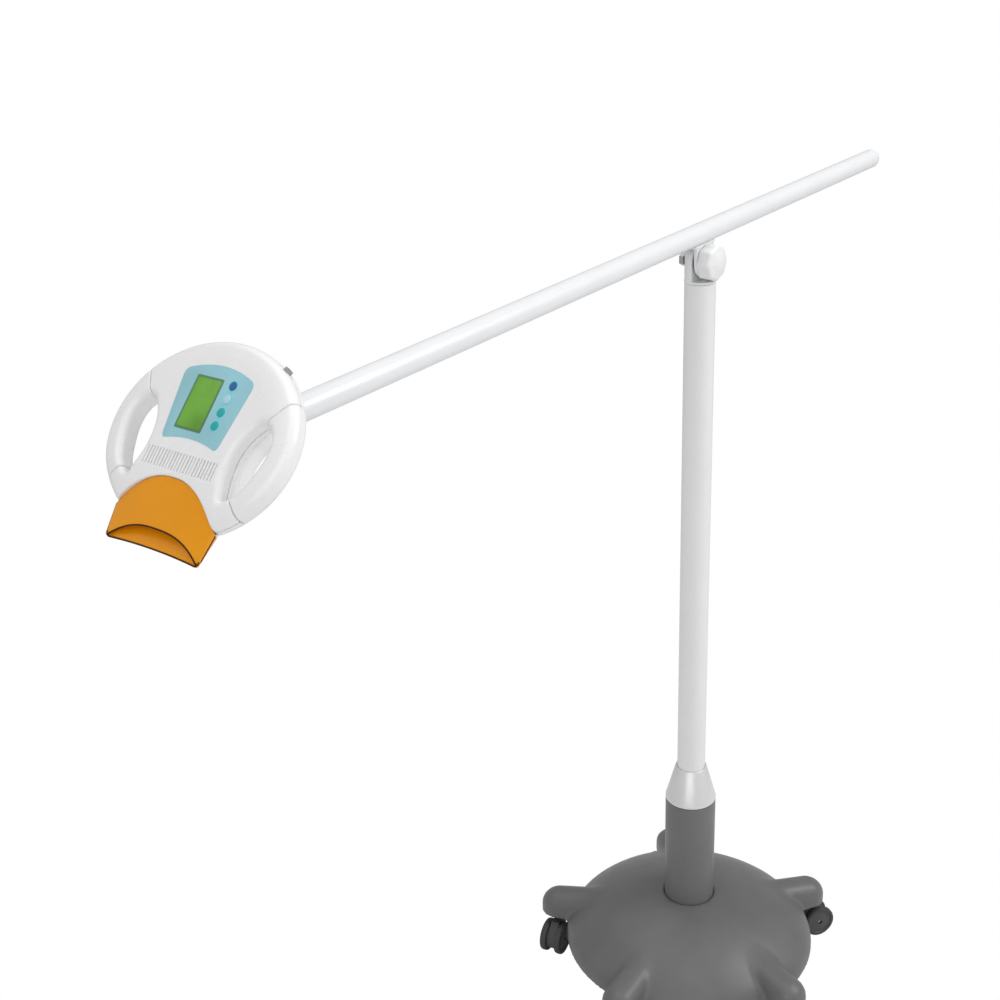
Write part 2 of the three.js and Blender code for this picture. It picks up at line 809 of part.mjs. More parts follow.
// D-shaped cross-section of the light shield at one station, set in by a wall
function shieldSection(x, inset) {
  const share = (x - shield.rearX) / (shield.frontX - shield.rearX);
  const between = (rear, front) => rear + (front - rear) * share;
  const half = between(shield.rearHalfWidth, shield.frontHalfWidth) - inset;
  const edge = -between(shield.edgeDepthRear, shield.edgeDepthFront);
  const crown = Math.max(between(shield.crownRear, shield.crownFront) - inset, fit.gap);
  const keel = Math.max(between(shield.keelRear, shield.keelFront) - inset, fit.gap);
  const top = arc(0, 0, 1, 1, 0, Math.PI, facets.crownSteps)
    .map(([c, s]) => [x, half * c, edge + crown * s]);
  const flat = 1 - shield.cornerShare;
  const side = 1 - shield.cornerShare * shield.cornerInsetShare;
  const drop = -shield.cornerDropShare;
  const under = [[-side, drop], [-flat, -1], [flat, -1], [side, drop]];
  const bottom = under.map(([c, s]) => [x, half * c, edge + keel * s]);
  return [...top, ...bottom];
}

function shieldBody(inset, fromX, toX) {
  return lofted([shieldSection(fromX, inset), shieldSection(toX, inset)]);
}

// Plan region in front of an arch, as a tall plate
function planBeyondArch(apexX, sideX, half, bow) {
  const arch = archShares.map((s) => [apexX + (sideX - apexX) * Math.abs(s) ** bow, s * half]);
  const far = 2 * shield.frontX;
  const wide = half * archShares.at(-1);
  return plate([...arch, [far, wide], [far, -wide]], -head.bellyDepth, head.bellyDepth);
}

function shieldRegion(back = 0) {
  return planBeyondArch(shield.apexX - back, shield.seatX - back, shield.archHalfWidth, shield.archBow);
}

// Curved skin of the shield over the nose, thicker on every side by the given margin
function shieldSkin(margin) {
  const outer = common(shieldBody(-margin, shield.rearX, shield.frontX), shieldRegion(margin));
  const inner = shieldBody(shield.wall + margin, shield.rearX - fit.overrun, shield.frontX + fit.overrun);
  const floorBack = head.frontX + fit.gap - margin;
  const wide = head.ringHalfWidth;
  const rearFloor = box(0, floorBack, -wide, wide, -head.bellyDepth, -shield.edgeDepthFront - margin);
  return cut(outer, inner, rearFloor);
}

function amberShield() {
  const lip = planBeyondArch(shield.lipX, shield.frontX, shield.frontHalfWidth, shield.lipBow);
  const above = box(0, 2 * shield.frontX, -head.ringHalfWidth, head.ringHalfWidth,
    -shield.edgeDepthFront, head.bellyDepth);
  return part("amber_shield", cut(shieldSkin(0), common(lip, above)), finishes.amber);
}

function overlayOutline(inset) {
  const rear = panel.rearHalfWidth - inset;
  const front = panel.frontHalfWidth - inset;
  const rearX = panel.rearX + inset;
  const frontX = panel.frontX - inset;
  const spread = [-1, -0.5, 0, 0.5, 1];
  const back = spread.map((s) => [rearX - panel.rearBulge * (1 - s * s), s * rear]);
  const fore = spread.map((s) => [frontX - panel.frontDip * (1 - s * s), -s * front]);
  return [...back, ...fore];
}

function lcdBox(grow, low, high) {
  const halfLength = panel.lcdLength / 2 + grow;
  const halfWidth = panel.lcdWidth / 2 + grow;
  return box(-halfLength, halfLength, panel.lcdY - halfWidth, panel.lcdY + halfWidth, low, high);
}

function keyRods(radius, low, high) {
  return panel.keyStations.map((x) => rod(radius, low, high, facets.pin).translate(x, panel.keyY, 0));
}

// Body solid whose outline draws in from level to level; each level is [height, inset]
function bellySolid(levels) {
  const outline = bellyOutline();
  const halfWidth = Math.max(...outline.map(([, y]) => y));
  return lofted(levels.map(([z, inset]) => outline.map(([x, y]) => [
    head.ringCentre + (x - head.ringCentre) * (1 - inset / head.ringHalfLength),
    y * (1 - inset / halfWidth),
    z,
  ])));
}

function headShells() {
  const ringPlate = plate(ringOutline(), -head.ringDepth, 0, {
    round: head.ringRound, steps: 2, holes: [gapOutline(), mirrored(gapOutline())],
  });
  const bend = head.bellyRound;
  const turnIn = bend * head.bellyBendShare;
  const belly = bellySolid([
    [-head.bellyDepth, bend], [-head.bellyDepth + turnIn, turnIn],
    [-head.bellyDepth + bend, 0], [-head.bellyTop, 0],
  ]);
  const hollowLow = -head.bellyDepth + head.wall;
  const hollow = bellySolid([
    [hollowLow, bend + head.wall], [hollowLow + turnIn, turnIn + head.wall],
    [hollowLow + bend, head.wall], [-head.ringRound, head.wall], [-head.wall, head.wall + head.ringRound],
  ]);
  const plug = common(shieldBody(shield.wall + fit.gap, shield.rearX, head.frontX),
    shieldRegion(shield.wall));
  const shadow = common(shieldBody(-fit.gap, shield.rearX - fit.gap, shield.frontX), shieldRegion());
  const above = common(
    box(0, 2 * shield.frontX, -shield.rearHalfWidth, shield.rearHalfWidth, -shield.edgeDepthRear,
      fit.overrun),
    shieldRegion(),
  );
  const run = head.frontX - head.noseSlopeStart;
  const slopeTurn = Math.atan2(head.bellyDepth - head.noseBottomDepth, run);
  const slope = box(0, 2 * run, -head.ringHalfWidth, head.ringHalfWidth, -head.bellyDepth, 0)
    .rotateY(-slopeTurn).translate(head.noseSlopeStart, 0, -head.bellyDepth);
  const fallTurn = Math.atan2(head.noseTopDepth, run);
  const fall = box(-head.wall, 2 * run, -head.ringHalfWidth, head.ringHalfWidth, 0, head.bellyDepth)
    .rotateY(fallTurn).translate(head.noseSlopeStart, 0, 0);
  const whole = cut(join(cut(join(ringPlate, belly), shadow, above, slope, fall), plug),
    shieldSkin(fit.gap));
  const innerSlope = slope.clone().translate(0, 0, head.wall);
  const cavity = cut(hollow, innerSlope);
  const window = box(
    light.boardX - light.sinkLength, head.frontX + fit.overrun, -light.lensHalfWidth - fit.gap,
    light.lensHalfWidth + fit.gap, -light.lensBottom - fit.gap, -light.lensTop + fit.gap,
  );
  return cut(whole, cavity, window);
}

function gapOutline() {
  return smooth(gapShares.map(headFrame), facets.gapSteps, true);
}

// Plan wedge that holds one handle; grow widens it past the seams
function handleWedge(grow, side) {
  const line = (shares) => {
    const [[ax, ay], [bx, by]] = shares.map(headFrame);
    const length = Math.hypot(bx - ax, by - ay);
    return { ax, ay, bx, by, nx: (-(by - ay) / length) * grow, ny: ((bx - ax) / length) * grow };
  };
  const rear = line(handleRearShares);
  const fore = line(handleFrontShares);
  const beyond = head.wedgeReachShare * head.ringHalfWidth;
  const points = [
    [rear.ax + rear.nx, rear.ay + rear.ny], [rear.bx + rear.nx, rear.by + rear.ny],
    [head.ringCentre - head.ringHalfLength, beyond],
    [head.ringCentre + head.ringHalfLength, beyond],
    [fore.bx - fore.nx, fore.by - fore.ny], [fore.ax - fore.nx, fore.ay - fore.ny],
  ];
  const outline = side > 0 ? points : mirrored(points);
  return plate(outline, -head.bellyDepth, fit.overrun);
}

function headHousing() {
  const shells = headShells();
  const wide = 2 * head.ringHalfWidth;
  const upperHalf = box(-wide, wide, -wide, wide, -head.seamDepth, fit.overrun);
  const lowerHalf = box(-wide, wide, -wide, wide, -2 * head.bellyDepth, -head.seamDepth - fit.gap);
  const body = cut(shells, handleWedge(fit.gap / 2, 1), handleWedge(fit.gap / 2, -1));
  const inletHole = inletPlace(rod(inlet.radius + fit.gap, -fit.overrun - inlet.length, fit.overrun,
    facets.rod));
  const pocket = plate(overlayOutline(-fit.gap), -panel.recess, fit.overrun);
  const keyHoles = keyRods(panel.keyRadius + fit.gap, -2 * head.wall, fit.overrun);
  const slots = Array.from({ length: vents.count }, (_, i) => {
    const y = -vents.halfSpan + (i * 2 * vents.halfSpan) / (vents.count - 1);
    const half = vents.slotWidth / 2;
    return box(vents.rearX, vents.frontX, y - half, y + half, -2 * head.wall, fit.overrun);
  });
  const under = -head.wall - fit.gap;
  const pillars = [-1, 1].flatMap((u) => [-1, 1].map((v) => {
    const foot = -panel.boardDepth + fit.gap;
    const place = [u * (panel.boardHalfLength - panel.pillarRadius),
      v * (panel.boardHalfWidth - panel.pillarRadius)];
    return rod(panel.pillarRadius, foot, under + fit.overrun / 2, facets.pillar)
      .translate(place[0], place[1], 0);
  }));
  const opened = cut(common(body, upperHalf), pocket, lcdBox(fit.gap, -2 * head.wall, fit.overrun),
    ...keyHoles, ...slots, inletHole);
  return {
    top: join(opened, ...pillars),
    bottom: cut(common(body, lowerHalf), inletHole),
    handles: [1, -1].map((side) => common(shells, handleWedge(-fit.gap / 2, side))),
  };
}

function inletPlace(geometry) {
  const x = head.ringCentre + head.ringHalfLength * Math.cos(inlet.turn);
  const y = -head.ringHalfWidth * Math.sin(inlet.turn);
  const nx = Math.cos(inlet.turn) / head.ringHalfLength;
  const ny = -Math.sin(inlet.turn) / head.ringHalfWidth;
  return geometry.rotateY(Math.PI / 2).rotateZ(Math.atan2(ny, nx)).translate(x, y, -inlet.depth);
}

function panelPieces() {
  const low = -panel.recess + fit.gap;
  const sheetTop = low + panel.sheet;
  const openings = [lcdBox(fit.gap, -head.wall, fit.overrun), ...keyRods(panel.keyRadius + fit.gap,
    -head.wall, fit.overrun)];
  const sheet = cut(plate(overlayOutline(0), low, sheetTop), ...openings);
  const board = -panel.boardDepth;
  const moduleLow = board + fit.gap;
  const moduleTop = moduleLow + panel.moduleThickness;
  const pieces = [
    part("panel_overlay", sheet, finishes.overlayBlue),
    part("lcd_window", lcdBox(0, moduleTop + fit.gap, sheetTop), finishes.displayGreen),
    part("lcd_module", lcdBox(panel.lcdFrame, moduleLow, moduleTop), finishes.black),
    part("control_board", box(
      -panel.boardHalfLength, panel.boardHalfLength, -panel.boardHalfWidth, panel.boardHalfWidth,
      board - panel.boardThickness, board,
    ), finishes.board),
  ];
  const colours = [finishes.keyDark, finishes.keyPale, finishes.keyTeal, finishes.keyTeal];
  keyRods(panel.keyRadius, board + panel.keyTravel + fit.gap, sheetTop + panel.keyProud)
    .forEach((key, i) => {
    pieces.push(part(`key_${i + 1}`, key, colours[i]));
  });
  return pieces;
}

function lightPieces() {
  const half = light.lensHalfWidth;
  const low = -light.lensBottom;
  const high = -light.lensTop;
  const lens = box(light.lensX, light.lensX + light.lensThickness, -half, half, low, high);
  const ledBoard = box(light.boardX, light.boardX + light.boardThickness, -half, half, low, high);
  const sinkFront = light.boardX - fit.gap;
  const pitch = (2 * half - light.sinkFinWidth) / (light.sinkFinCount - 1);
  const fins = Array.from({ length: light.sinkFinCount }, (_, i) => {
    const y = -half + i * pitch;
    return box(sinkFront - light.sinkLength, sinkFront, y, y + light.sinkFinWidth, low, high);
  });
  const rise = (head.bellyDepth - head.noseBottomDepth) / (head.frontX - head.noseSlopeStart);
  const floorAtSink = -head.bellyDepth + head.wall + (sinkFront - head.noseSlopeStart) * rise;
  const sinkBack = sinkFront - light.sinkBase;
  const foot = box(sinkBack, sinkFront, -light.sinkFootHalf, light.sinkFootHalf, floorAtSink + fit.gap,
    high);
  const sink = join(box(sinkBack, sinkFront, -half, half, low, high), foot, ...fins);
  const floor = -head.bellyDepth + head.wall + fit.gap;
  const frameTop = -light.fanDepth;
  const square = light.fanFrameHalf;
  const tunnel = rod(light.fanRadius + 2 * fit.gap, floor + light.fanFrameFloor,
    frameTop + fit.overrun, facets.tube);
  const frame = join(
    cut(box(-square, square, -square, square, floor, frameTop), tunnel),
    rod(light.fanPinRadius, floor, frameTop - light.fanFrameFloor, facets.pin),
  );
  const bladeTop = frameTop - fit.gap;
  const bladeLow = bladeTop - light.fanThickness;
  const blades = Array.from({ length: light.fanBladeCount }, (_, i) => {
    const blade = box(light.fanHubRadius / 2, light.fanRadius, -light.fanBladeHalf, light.fanBladeHalf,
      bladeLow, bladeTop);
    return blade.rotateZ((i * 2 * Math.PI) / light.fanBladeCount);
  });
  const hub = rod(light.fanHubRadius, bladeLow, bladeTop, facets.rod);
  const bore = rod(light.fanPinRadius + fit.running, bladeLow - fit.overrun,
    frameTop - light.fanFrameFloor + fit.gap, facets.pin);
  const rotor = cut(join(hub, ...blades), bore);
  const barrel = cut(rod(inlet.radius, -inlet.length, inlet.proud, facets.rod),
    rod(inlet.bore, inlet.proud - inlet.boreDepth, inlet.proud + fit.overrun, facets.pin));
  return [
    part("light_lens", lens, finishes.lens),
    part("led_board", ledBoard, finishes.board),
    part("heat_sink", sink, finishes.steel),
    part("fan_frame", frame.translate(light.fanX, 0, 0), finishes.black),
    part("fan_rotor", rotor.translate(light.fanX, 0, 0), finishes.black),
    part("dc_inlet", inletPlace(barrel), finishes.black),
  ];
}

function makeHead() {
  const group = new THREE.Group();
  const housing = headHousing();
  group.add(
    part("top_shell", housing.top, finishes.headWhite),
    part("bottom_shell", housing.bottom, finishes.headWhite),
    part("handle_right", housing.handles[0], finishes.headWhite),
    part("handle_left", housing.handles[1], finishes.headWhite),
    ...panelPieces(),
    ...lightPieces(),
    amberShield(),
    headBracket(),
  );
  return group;
}

// Assembly
function makeLamp() {
  const lamp = new THREE.Group();
  const pivotHeight = arm.axisHeight - tilt.pivotDrop;
  const tiltAxis = groupAt(0, 0, pivotHeight, ...tiltPieces());

  const armGroup = groupAt(0, 0, pivotHeight, armSaddle(), ...armPieces());
  armGroup.rotation.y = -arm.rise;

  const wristGroup = groupAt(-arm.frontReach - wrist.pivotLead, 0, tilt.pivotDrop, wristKnuckle(),
    ...wristPin());
  const headTurn = new THREE.Group();
  headTurn.rotation.y = arm.rise - head.noseDown;
  const headGroup = makeHead();
  headGroup.position.set(-head.pivotX, 0, head.pivotDepth);
  const facing = new THREE.Group();
  facing.rotation.z = Math.PI;
  facing.add(headGroup);
  headTurn.add(facing);
  wristGroup.add(headTurn);
  armGroup.add(wristGroup);

  lamp.add(makeBase(), postTube(), postHead(pivotHeight), tiltAxis, armGroup);
  return lamp;
}

// Origin: on the floor under the middle of the whole lamp
const lamp = makeLamp();
const extent = new THREE.Box3().setFromObject(lamp, true);
const middle = extent.getCenter(new THREE.Vector3());
lamp.position.set(-middle.x, -middle.y, -extent.min.z);

const partRoot = new THREE.Group();
partRoot.add(lamp);

export default partRoot;
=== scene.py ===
"""Looks of a teeth whitening lamp: an oval lamp head on a long arm, a post and a round caster base.

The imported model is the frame. Every smooth piece that stands for a node of it is made here, in
metres, in the frame's own coordinates, and rides on the body that the node belongs to.
"""

from __future__ import annotations

import json
import logging
import math
from dataclasses import dataclass, field
from enum import Enum
from functools import reduce
from typing import Any, Callable, Sequence

import bmesh
import bpy
import numpy as np
from mathutils import Matrix, Vector

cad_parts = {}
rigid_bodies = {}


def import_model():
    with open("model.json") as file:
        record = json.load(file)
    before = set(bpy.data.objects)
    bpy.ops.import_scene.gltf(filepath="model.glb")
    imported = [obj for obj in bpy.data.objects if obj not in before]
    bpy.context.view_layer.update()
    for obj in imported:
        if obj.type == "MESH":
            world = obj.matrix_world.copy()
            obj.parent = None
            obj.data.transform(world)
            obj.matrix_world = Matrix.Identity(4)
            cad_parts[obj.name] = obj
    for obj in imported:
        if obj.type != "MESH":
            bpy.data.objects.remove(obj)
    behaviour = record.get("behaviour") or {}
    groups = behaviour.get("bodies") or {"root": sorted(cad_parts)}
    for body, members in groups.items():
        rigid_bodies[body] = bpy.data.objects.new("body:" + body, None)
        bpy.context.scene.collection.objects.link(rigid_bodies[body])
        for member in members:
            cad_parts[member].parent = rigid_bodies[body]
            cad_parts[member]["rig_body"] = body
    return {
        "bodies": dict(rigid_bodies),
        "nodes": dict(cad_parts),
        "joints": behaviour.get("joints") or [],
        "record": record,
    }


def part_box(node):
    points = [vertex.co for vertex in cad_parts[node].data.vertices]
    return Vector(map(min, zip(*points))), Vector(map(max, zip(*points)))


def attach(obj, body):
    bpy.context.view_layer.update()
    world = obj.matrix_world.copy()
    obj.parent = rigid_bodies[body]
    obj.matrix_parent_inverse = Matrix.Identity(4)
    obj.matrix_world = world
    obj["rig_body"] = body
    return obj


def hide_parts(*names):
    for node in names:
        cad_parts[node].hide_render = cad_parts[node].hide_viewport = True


LOG = logging.getLogger("whitening_lamp")
MM = 0.001
TINY = 1e-6
FULL_TURN = 2.0 * math.pi
EAST, NORTH, UP = np.eye(3)
WHITE = (1.0, 1.0, 1.0, 1.0)
Array = np.ndarray
Point = tuple[float, float, float]
Spots = Sequence[tuple[float, float]]
Distance = Callable[[Array, Array, Array], Array]
Value = float | np.ndarray
Piece = bpy.types.Object
Tree = bpy.types.NodeTree
Node = bpy.types.Node
Socket = bpy.types.NodeSocket


class Surface(Enum):
    """Kinds of grain that a finish can carry."""

    SMOOTH = "smooth"
    ORANGE_PEEL = "orange_peel"
    GRAIN = "grain"
    BRUSHED = "brushed"


SMOOTH, PEEL, GRAIN, BRUSHED = Surface
# Scale per metre and octaves of the two slow noises.
COLOUR_NOISE = (22.0, 4.0)
ROUGHNESS_NOISE = (60.0, 3.0)
ROUGHNESS_WANDER = 0.06
COAT_ROUGHNESS = 0.15
SCATTER_DEPTH = 4.0 * MM
RELIEF_HEIGHT = 0.2 * MM
BRUSH_STRETCH = (1.0, 1.0, 0.04)
RELIEF_OCTAVES = 2.0
RAMP_SHARES = (0.3, 0.7)
LEAST_ROUGHNESS = 0.02
# How far along a rounded edge its middle point lies.
KNEE_SHARE = 0.3
# How much coarser each relief is than its grain.
RELIEF_SHARES = {BRUSHED: 1.0, PEEL: 0.25, SMOOTH: 0.1}


def feed(tree: Tree, node: Node, values: dict[Any, Any]) -> Node:
    """Set a node's inputs.

    Args:
        tree: The tree that holds the node.
        node: The node.
        values: For each input, by name or number, its value or the output that is linked to it.

    Returns:
        The node.
    """
    for key, value in values.items():
        if isinstance(value, Socket):
            tree.links.new(value, node.inputs[key])
        else:
            node.inputs[key].default_value = value
    return node


def add_node(tree: Tree, kind: str, values: dict[Any, Any] | None = None) -> Node:
    """Add a node of a kind to a tree, with its inputs set as in feed."""
    return feed(tree, tree.nodes.new(kind), values or {})


@dataclass(frozen=True)
class Finish:
    """A procedural surface finish.

    Args:
        name: Name of the finish.
        slot: Material slot of the record that it belongs to; not used.
        colour: Base colour as the linear red, green and blue that the photograph suggests.
        roughness: Middle roughness.
        surface: Kind of fine relief.
        relief: Strength of the relief.
        variation: How much the colour wanders over the surface.
        metallic: Share of metal.
        coat: Clear coat weight.
        specular: Strength of the mirror reflection.
        transmission: Share of light let through.
        subsurface: Share of light that spreads inside.
        grain_mm: Size of the relief.
    """

    name: str
    slot: str
    colour: Point
    roughness: float
    surface: Surface = SMOOTH
    relief: float = 0.05
    variation: float = 0.04
    metallic: float = 0.0
    coat: float = 0.0
    specular: float = 0.5
    transmission: float = 0.0
    subsurface: float = 0.0
    grain_mm: float = 0.6

    def material(self) -> bpy.types.Material:
        """Build the node material, or give back the one already built.

        Returns:
            The material with its noise, wear and relief nodes.
        """
        label = "look_" + self.name
        found = bpy.data.materials.get(label)
        if found:
            return found
        made = bpy.data.materials.new(label)
        made.use_nodes = True
        made.diffuse_color = (*self.colour, 1.0)
        tree = made.node_tree
        spot = add_node(tree, "ShaderNodeTexCoord").outputs["Object"]
        inputs = {
            "Base Color": self._colour(tree, spot),
            "Roughness": self._roughness(tree, spot),
            "Normal": self._relief(tree, spot),
            "Metallic": self.metallic,
            "Coat Weight": self.coat,
            "Coat Roughness": COAT_ROUGHNESS,
            "Transmission Weight": self.transmission,
            "Subsurface Weight": self.subsurface,
            "Subsurface Scale": SCATTER_DEPTH,
            "Specular IOR Level": self.specular,
        }
        feed(tree, tree.nodes["Principled BSDF"], inputs)
        return made

    def _noise(self, tree: Tree, spot: Socket, scale: float, octaves: float) -> Socket:
        """Add a noise of a scale per metre at a position, and give back its output."""
        inputs = {"Vector": spot, "Scale": scale, "Detail": octaves}
        return add_node(tree, "ShaderNodeTexNoise", inputs).outputs["Fac"]

    def _colour(self, tree: Tree, spot: Socket) -> Socket:
        """Let the colour wander a little between a darker and a lighter tone."""
        ramp = add_node(tree, "ShaderNodeValToRGB", {"Fac": self._noise(tree, spot, *COLOUR_NOISE)})
        for element, position, side in zip(ramp.color_ramp.elements, RAMP_SHARES, (-1.0, 1.0)):
            element.position = position
            tone = (min(c * (1.0 + side * self.variation), 1.0) for c in self.colour)
            element.color = (*tone, 1.0)
        return ramp.outputs["Color"]

    def _roughness(self, tree: Tree, spot: Socket) -> Socket:
        """Let the roughness wander, as handled plastic and paint do."""
        inputs = {
            "Value": self._noise(tree, spot, *ROUGHNESS_NOISE),
            "To Min": max(self.roughness - ROUGHNESS_WANDER, LEAST_ROUGHNESS),
            "To Max": min(self.roughness + ROUGHNESS_WANDER, 1.0),
        }
        return add_node(tree, "ShaderNodeMapRange", inputs).outputs["Result"]

    def _relief(self, tree: Tree, spot: Socket) -> Socket:
        """Add the fine relief of the surface kind."""
        scale = 1.0 / (self.grain_mm * MM)
        if self.surface is Surface.GRAIN:
            cells = add_node(tree, "ShaderNodeTexVoronoi", {"Vector": spot, "Scale": scale})
            height = cells.outputs["Distance"]
        else:
            if self.surface is Surface.BRUSHED:
                stretch = {"Vector": spot, "Scale": BRUSH_STRETCH}
                spot = add_node(tree, "ShaderNodeMapping", stretch).outputs["Vector"]
            height = self._noise(tree, spot, scale * RELIEF_SHARES[self.surface], RELIEF_OCTAVES)
        bump = {"Height": height, "Distance": RELIEF_HEIGHT, "Strength": self.relief}
        return add_node(tree, "ShaderNodeBump", bump).outputs["Normal"]


BASE_GREY = Finish(
    "moulded_grey", "base_grey", (0.128, 0.128, 0.128), 0.42, PEEL, 0.25, variation=0.06
)
SOCKET_GREY = Finish("painted_grey", "socket_grey", (0.150, 0.150, 0.150), 0.38, PEEL, 0.2)
WHEEL_GREY = Finish(
    "tread_rubber", "wheel_grey", (0.045, 0.046, 0.048), 0.6, GRAIN, 0.2, variation=0.12
)
FORK_GREY = Finish("caster_nylon", "caster_grey", (0.06, 0.061, 0.063), 0.5, GRAIN, 0.15)
SILVER = Finish("satin_silver", "silver", (0.74, 0.74, 0.74), 0.34, BRUSHED, 0.1, metallic=0.4)
STEEL = Finish("bright_steel", "steel", (0.50, 0.51, 0.52), 0.3, BRUSHED, 0.12, metallic=1.0)
IRON = Finish("blacked_iron", "ballast_iron", (0.035, 0.035, 0.037), 0.6, GRAIN, 0.3, 0.15, 0.4)
POST_PAINT = Finish(
    "post_paint", "post_paint", (0.79, 0.792, 0.795), 0.32, PEEL, 0.1, 0.015, coat=0.2
)
ARM_PAINT = Finish("arm_paint", "arm_paint", (0.79, 0.80, 0.81), 0.3, PEEL, 0.1, 0.015, coat=0.2)
KNOB_WHITE = Finish("knob_plastic", "knob_white", (0.82, 0.822, 0.825), 0.42, GRAIN, 0.08, 0.02)
HEAD_WHITE = Finish(
    "shell_plastic", "head_white", (0.855, 0.855, 0.86), 0.28, PEEL, 0.06, 0.012, coat=0.25
)
OVERLAY_BLUE = Finish(
    "panel_film", "overlay_blue", (0.30, 0.57, 0.64), 0.45, GRAIN, 0.06, 0.05, specular=0.25
)
DISPLAY_GREEN = Finish(
    "display_green", "display_green", (0.15, 0.37, 0.05), 0.5, GRAIN, 0.1, 0.22,
    specular=0.2, grain_mm=1.6,
)
DISPLAY_EDGE = Finish("display_edge", "display_green", (0.09, 0.22, 0.10), 0.3, variation=0.05)
KEY_DARK = Finish("key_dark_blue", "key_dark", (0.02, 0.12, 0.36), 0.4, GRAIN)
KEY_PALE = Finish("key_pale_blue", "key_pale", (0.42, 0.67, 0.80), 0.4, GRAIN)
KEY_TEAL = Finish("key_teal", "key_teal", (0.02, 0.38, 0.40), 0.4, GRAIN)
KEY_RING = Finish("key_ring_pale", "overlay_blue", (0.20, 0.68, 0.76), 0.4)
BOARD_GREEN = Finish("board_green", "board", (0.01, 0.10, 0.03), 0.4, GRAIN, 0.1, coat=0.3)
INLET_GREY = Finish("inlet_plastic", "black_plastic", (0.32, 0.32, 0.33), 0.45, GRAIN, 0.15)
BLACK_PLASTIC = Finish("black_plastic", "black_plastic", (0.02, 0.02, 0.022), 0.5, GRAIN, 0.15)
BRACKET_GREY = Finish("bracket_plastic", "head_white", (0.70, 0.705, 0.71), 0.36, PEEL, 0.08)
ALUMINIUM = Finish(
    "plain_aluminium", "heat_sink_metal", (0.60, 0.61, 0.62), 0.38, BRUSHED, 0.1, metallic=0.9
)
AMBER = Finish(
    "amber_plastic", "amber", (0.84, 0.32, 0.004), 0.22,
    variation=0.03, coat=0.25, specular=0.2, subsurface=0.15,
)
# Dark amber for the beads of painted shade along the scoop's mouth and side edges, where the amber
# looks darker.
AMBER_EDGE_SHADE = Finish("amber_rim_shade", "amber", (0.055, 0.022, 0.006), 0.55, variation=0.1, specular=0.1)
LENS = Finish("light_lens", "lens", (0.9, 0.94, 0.97), 0.05, variation=0.01, transmission=0.8)


def smooth(piece: Piece, degrees: float, merge: float = TINY, outward: bool = True) -> None:
    """Merge doubled corners and shade a piece smooth.

    Args:
        piece: The piece.
        degrees: Edges sharper than this stay sharp.
        merge: Corners closer than this many metres become one.
        outward: Whether to point every face out of the closed piece.
    """
    mesh = piece.data
    work = bmesh.new()
    work.from_mesh(mesh)
    bmesh.ops.remove_doubles(work, verts=work.verts, dist=merge)
    if outward:
        bmesh.ops.recalc_face_normals(work, faces=work.faces)
    work.to_mesh(mesh)
    work.free()
    mesh.shade_smooth()
    mesh.set_sharp_from_angle(angle=math.radians(degrees))


def mesh_object(name: str, points: Array, faces: Sequence[Sequence[int]]) -> Piece:
    """Make a mesh object at the origin.

    Args:
        name: Name of the new piece.
        points: Corner positions in metres, one row each.
        faces: Corner numbers of each face.

    Returns:
        The linked object.
    """
    mesh = bpy.data.meshes.new(name)
    corners = [tuple(map(float, point)) for point in points]
    mesh.from_pydata(corners, [], [tuple(map(int, face)) for face in faces])
    mesh.validate()
    mesh.update()
    return linked(name, mesh)


def linked(name: str, data: bpy.types.ID | None) -> Piece:
    """Make an object of some data and link it to the scene."""
    thing = bpy.data.objects.new(name, data)
    bpy.context.scene.collection.objects.link(thing)
    return thing


def evaluated_mesh(thing: Piece) -> bpy.types.Mesh:
    """Plain mesh of an object with its modifiers or its bevel applied."""
    graph = bpy.context.evaluated_depsgraph_get()
    return bpy.data.meshes.new_from_object(thing.evaluated_get(graph))


def apply_modifiers(piece: Piece) -> None:
    """Turn a piece with modifiers into a plain mesh."""
    made = evaluated_mesh(piece)
    piece.modifiers.clear()
    piece.data = made


def unit(vector: Array) -> Array:
    """Scale a vector to length one."""
    return vector / np.linalg.norm(vector)


def arc(start: float, end: float, steps: int, width: float, height: float) -> Spots:
    """Points on an arc about the origin.

    Args:
        start: First angle in quarter turns.
        end: Last angle in quarter turns.
        steps: Number of steps between them.
        width: Reach along the first axis.
        height: Reach along the second axis.

    Returns:
        The points, both ends included.
    """
    turns = [(start + (end - start) * step / steps) * math.pi / 2.0 for step in range(steps + 1)]
    return [(width * math.cos(turn), height * math.sin(turn)) for turn in turns]


@dataclass(frozen=True)
class Place:
    """A local frame: an origin and three unit directions in the part's frame, in millimetres."""

    origin: Array
    x: Array
    y: Array
    z: Array

    def at(self, x: float, y: float, z: float) -> Array:
        """Turn one local point into millimetres of the part's frame."""
        return self.origin + x * self.x + y * self.y + z * self.z

    def out(self, points: Array) -> Array:
        """Turn local millimetres into metres of the part's frame, one point per row."""
        local = np.asarray(points, dtype=float)
        return (self.origin + local @ np.stack([self.x, self.y, self.z])) * MM

    def moved(self, x: float, y: float, z: float) -> Place:
        """The same directions from another local origin."""
        return Place(self.at(x, y, z), self.x, self.y, self.z)


def ring_faces(count: int, rings: int) -> list[list[int]]:
    """Quads between rings of points that are numbered ring after ring.

    Args:
        count: Points in each ring.
        rings: Number of rings.

    Returns:
        Four point numbers for each face.
    """
    faces = []
    for a in range(0, (rings - 1) * count, count):
        for step in range(count):
            after = (step + 1) % count
            faces.append([a + step, a + after, a + count + after, a + count + step])
    return faces


